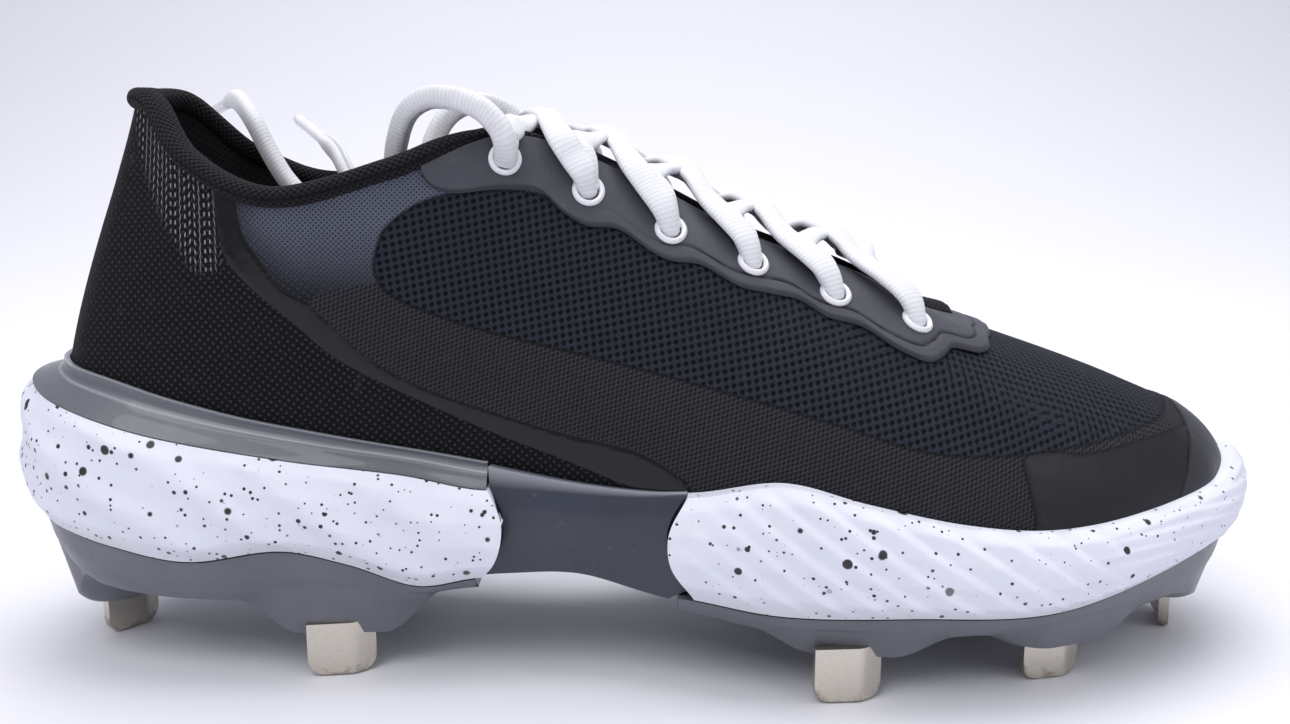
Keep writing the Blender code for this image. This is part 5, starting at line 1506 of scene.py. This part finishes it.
def build_stage(settings):
    """A pale sweep, soft lights and the camera."""
    bend = [(0.7 + 2.4 * math.sin(a), 2.4 - 2.4 * math.cos(a)) for a in np.linspace(0, math.pi / 2, 40)]
    curve = [(-2.6, 0.0)] + bend + [(3.1, 4.0)]
    points = np.array([[(x, y, z - 0.0002) for y, z in curve] for x in (-5.0, 5.0)])
    mesh = bpy.data.meshes.new("sweep")
    mesh.from_pydata(points.reshape(-1, 3).tolist(), [], grid_faces(2, len(curve), flip=True))
    mesh.shade_smooth()
    floor = Graph("floor_pale", srgb(*settings.floor_tone), 0.62)
    floor.set("Roughness", floor.blend(floor.noise(floor.place(), 60.0), 0.5, 0.7))
    mesh.materials.append(floor.material)
    sweep = bpy.data.objects.new("sweep", mesh)
    bpy.context.collection.objects.link(sweep)
    sweep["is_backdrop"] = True
    for lamp in LAMPS:
        light = bpy.data.lights.new(lamp["name"], "AREA")
        light.shape = "SQUARE"
        light.size = lamp["size"]
        light.energy = getattr(settings, lamp["name"] + "_power")
        holder = bpy.data.objects.new(lamp["name"], light)
        bpy.context.collection.objects.link(holder)
        way = np.array(lamp["place"]) - np.array(lamp["aim"])
        flat = math.hypot(way[0], way[1])
        holder.location = lamp["place"]
        holder.rotation_euler = (math.atan2(flat, way[2]), 0.0, math.atan2(way[0], -way[1]))
    world = bpy.data.worlds.new("pale_room")
    world.use_nodes = True
    world.node_tree.nodes["Background"].inputs["Color"].default_value = srgb(226, 227, 236)
    world.node_tree.nodes["Background"].inputs["Strength"].default_value = settings.world_power
    bpy.context.scene.world = world
    bpy.context.scene.view_settings.view_transform = "Standard"
    data = bpy.data.cameras.new("camera")
    data.lens = CAMERA_LENS
    data.sensor_width = CAMERA_SENSOR
    data.clip_start = CAMERA_NEAREST
    camera = bpy.data.objects.new("camera", data)
    camera.location = CAMERA_PLACE
    camera.rotation_euler = (CAMERA_TILT, 0.0, 0.0)
    bpy.context.collection.objects.link(camera)
    bpy.context.scene.camera = camera


def tone(name, description, default):
    return bpy.props.FloatVectorProperty(name=name, description=description + ", 0 to 255", size=3,
                                         min=0.0, max=255.0, default=default)


def power(name, description, default):
    return bpy.props.FloatProperty(name=name, description=description, default=default, min=0.0, unit="POWER")


def size(name, description, default):
    return bpy.props.FloatProperty(name=name, description=description, default=default, min=0.0005, max=0.02,
                                   unit="LENGTH")


class CleatLookSettings(bpy.types.PropertyGroup):
    mesh_tone: tone("Mesh", "Colour of the open mesh", (40.0, 43.0, 54.0))
    heel_tone: tone("Heel cloth", "Colour of the cloth round the heel", (13.0, 13.0, 16.0))
    band_tone: tone("Band", "Colour of the knitted band", (56.0, 56.0, 62.0))
    slate_tone: tone("Quarter", "Colour of the panel under the collar", (94.0, 99.0, 114.0))
    film_tone: tone("Eyestay", "Colour of the film round the throat", (74.0, 75.0, 83.0))
    lace_tone: tone("Laces", "Colour of the laces", (222.0, 222.0, 227.0))
    foam_tone: tone("Foam", "Colour of the foam", (224.0, 225.0, 236.0))
    fleck_tone: tone("Flecks", "Colour of the flecks in the foam", (34.0, 33.0, 37.0))
    bridge_tone: tone("Waist", "Colour of the piece between the foams", (45.0, 51.0, 66.0))
    clip_tone: tone("Clip", "Colour of the heel clip", (98.0, 101.0, 109.0))
    plate_tone: tone("Plates", "Colour of the sole plates", (104.0, 107.0, 116.0))
    steel_tone: tone("Blades", "Colour of the stud blades", (226.0, 220.0, 208.0))
    collar_roll: size("Collar roll", "Thickness of the padded roll along the collar", 0.0048)
    lace_width: size("Lace width", "Width of the crossed laces", 0.0066)
    lace_thickness: size("Lace thickness", "Thickness of the crossed laces", 0.0040)


class CleatStageSettings(bpy.types.PropertyGroup):
    floor_tone: tone("Floor", "Colour of the floor", (224.0, 224.0, 231.0))
    key_power: power("Key light", "Power of the key light", 9.0)
    fill_power: power("Fill light", "Power of the fill light", 3.0)
    top_power: power("Top light", "Power of the top light", 14.0)
    wall_power: power("Wall light", "Power of the light on the wall behind", 26.0)
    world_power: bpy.props.FloatProperty(
        name="Room light", description="Strength of the even light of the room", default=0.58, min=0.0)


class CLEAT_OT_upper(bpy.types.Operator):
    """Builds the upper, its film and eyelets, and dresses the insole."""
    bl_idname = "cleat.upper"
    bl_label = "Upper"

    def execute(self, context):
        look, fine = context.scene.cleat_look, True
        build_upper(look, fine)
        build_film(look, fine)
        build_eyelets(fine)
        dress_insole()
        return {"FINISHED"}


class CLEAT_OT_padding(bpy.types.Operator):
    """Builds the padded collar, the tongue and its loop."""
    bl_idname = "cleat.padding"
    bl_label = "Collar and tongue"

    def execute(self, context):
        build_collar(context.scene.cleat_look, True)
        build_tongue(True)
        return {"FINISHED"}


class CLEAT_OT_foam(bpy.types.Operator):
    """Builds the two foams."""
    bl_idname = "cleat.foam"
    bl_label = "Foams"

    def execute(self, context):
        for heel in (True, False):
            build_foam(context.scene.cleat_look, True, heel)
        return {"FINISHED"}


class CLEAT_OT_moulded(bpy.types.Operator):
    """Builds the waist piece, the heel clip and the two sole plates."""
    bl_idname = "cleat.moulded"
    bl_label = "Clip, waist and plates"

    def execute(self, context):
        look, fine = context.scene.cleat_look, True
        build_bridge(look)
        build_clip(look, fine)
        for heel in (True, False):
            build_plate(look, fine, heel)
        return {"FINISHED"}


class CLEAT_OT_studs(bpy.types.Operator):
    """Builds the eight stud blades."""
    bl_idname = "cleat.studs"
    bl_label = "Studs"

    def execute(self, context):
        build_studs(context.scene.cleat_look)
        return {"FINISHED"}


class CLEAT_OT_laces(bpy.types.Operator):
    """Builds the crossed laces, the free ends and their aglets."""
    bl_idname = "cleat.laces"
    bl_label = "Laces"

    def execute(self, context):
        build_laces(context.scene.cleat_look)
        return {"FINISHED"}


class CLEAT_OT_stage(bpy.types.Operator):
    """Sets up the floor, the lights and the camera."""
    bl_idname = "cleat.stage"
    bl_label = "Stage"

    def execute(self, context):
        build_stage(context.scene.cleat_stage)
        return {"FINISHED"}


class CLEAT_PT_panel(bpy.types.Panel):
    """Lists the cleat's steps and settings."""
    bl_idname = "CLEAT_PT_panel"
    bl_label = "Cleat"
    bl_space_type = "VIEW_3D"
    bl_region_type = "UI"
    bl_category = "Cleat"

    def draw(self, context):
        for step in STEPS:
            self.layout.operator(step.bl_idname)
        for settings in (context.scene.cleat_look, context.scene.cleat_stage):
            for name in type(settings).__annotations__:
                self.layout.prop(settings, name)


STEPS = (CLEAT_OT_upper, CLEAT_OT_padding, CLEAT_OT_foam, CLEAT_OT_moulded, CLEAT_OT_studs, CLEAT_OT_laces,
         CLEAT_OT_stage)
CLASSES = (CleatLookSettings, CleatStageSettings, *STEPS, CLEAT_PT_panel)


def register():
    for item in CLASSES:
        bpy.utils.register_class(item)
    bpy.types.Scene.cleat_look = bpy.props.PointerProperty(type=CleatLookSettings)
    bpy.types.Scene.cleat_stage = bpy.props.PointerProperty(type=CleatStageSettings)


def unregister():
    del bpy.types.Scene.cleat_look
    del bpy.types.Scene.cleat_stage
    for item in reversed(CLASSES):
        bpy.utils.unregister_class(item)


def plain(bounds):
    return [[float(value) for value in corner] for corner in bounds]


def main():
    cad_box = plain(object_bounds())
    register()
    bpy.ops.cleat.upper()
    bpy.ops.cleat.padding()
    bpy.ops.cleat.foam()
    bpy.ops.cleat.moulded()
    bpy.ops.cleat.studs()
    bpy.ops.cleat.laces()
    bpy.ops.cleat.stage()
    {"cad": cad_box, "visual": plain(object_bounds())}


if __name__ == "__main__":
    main()
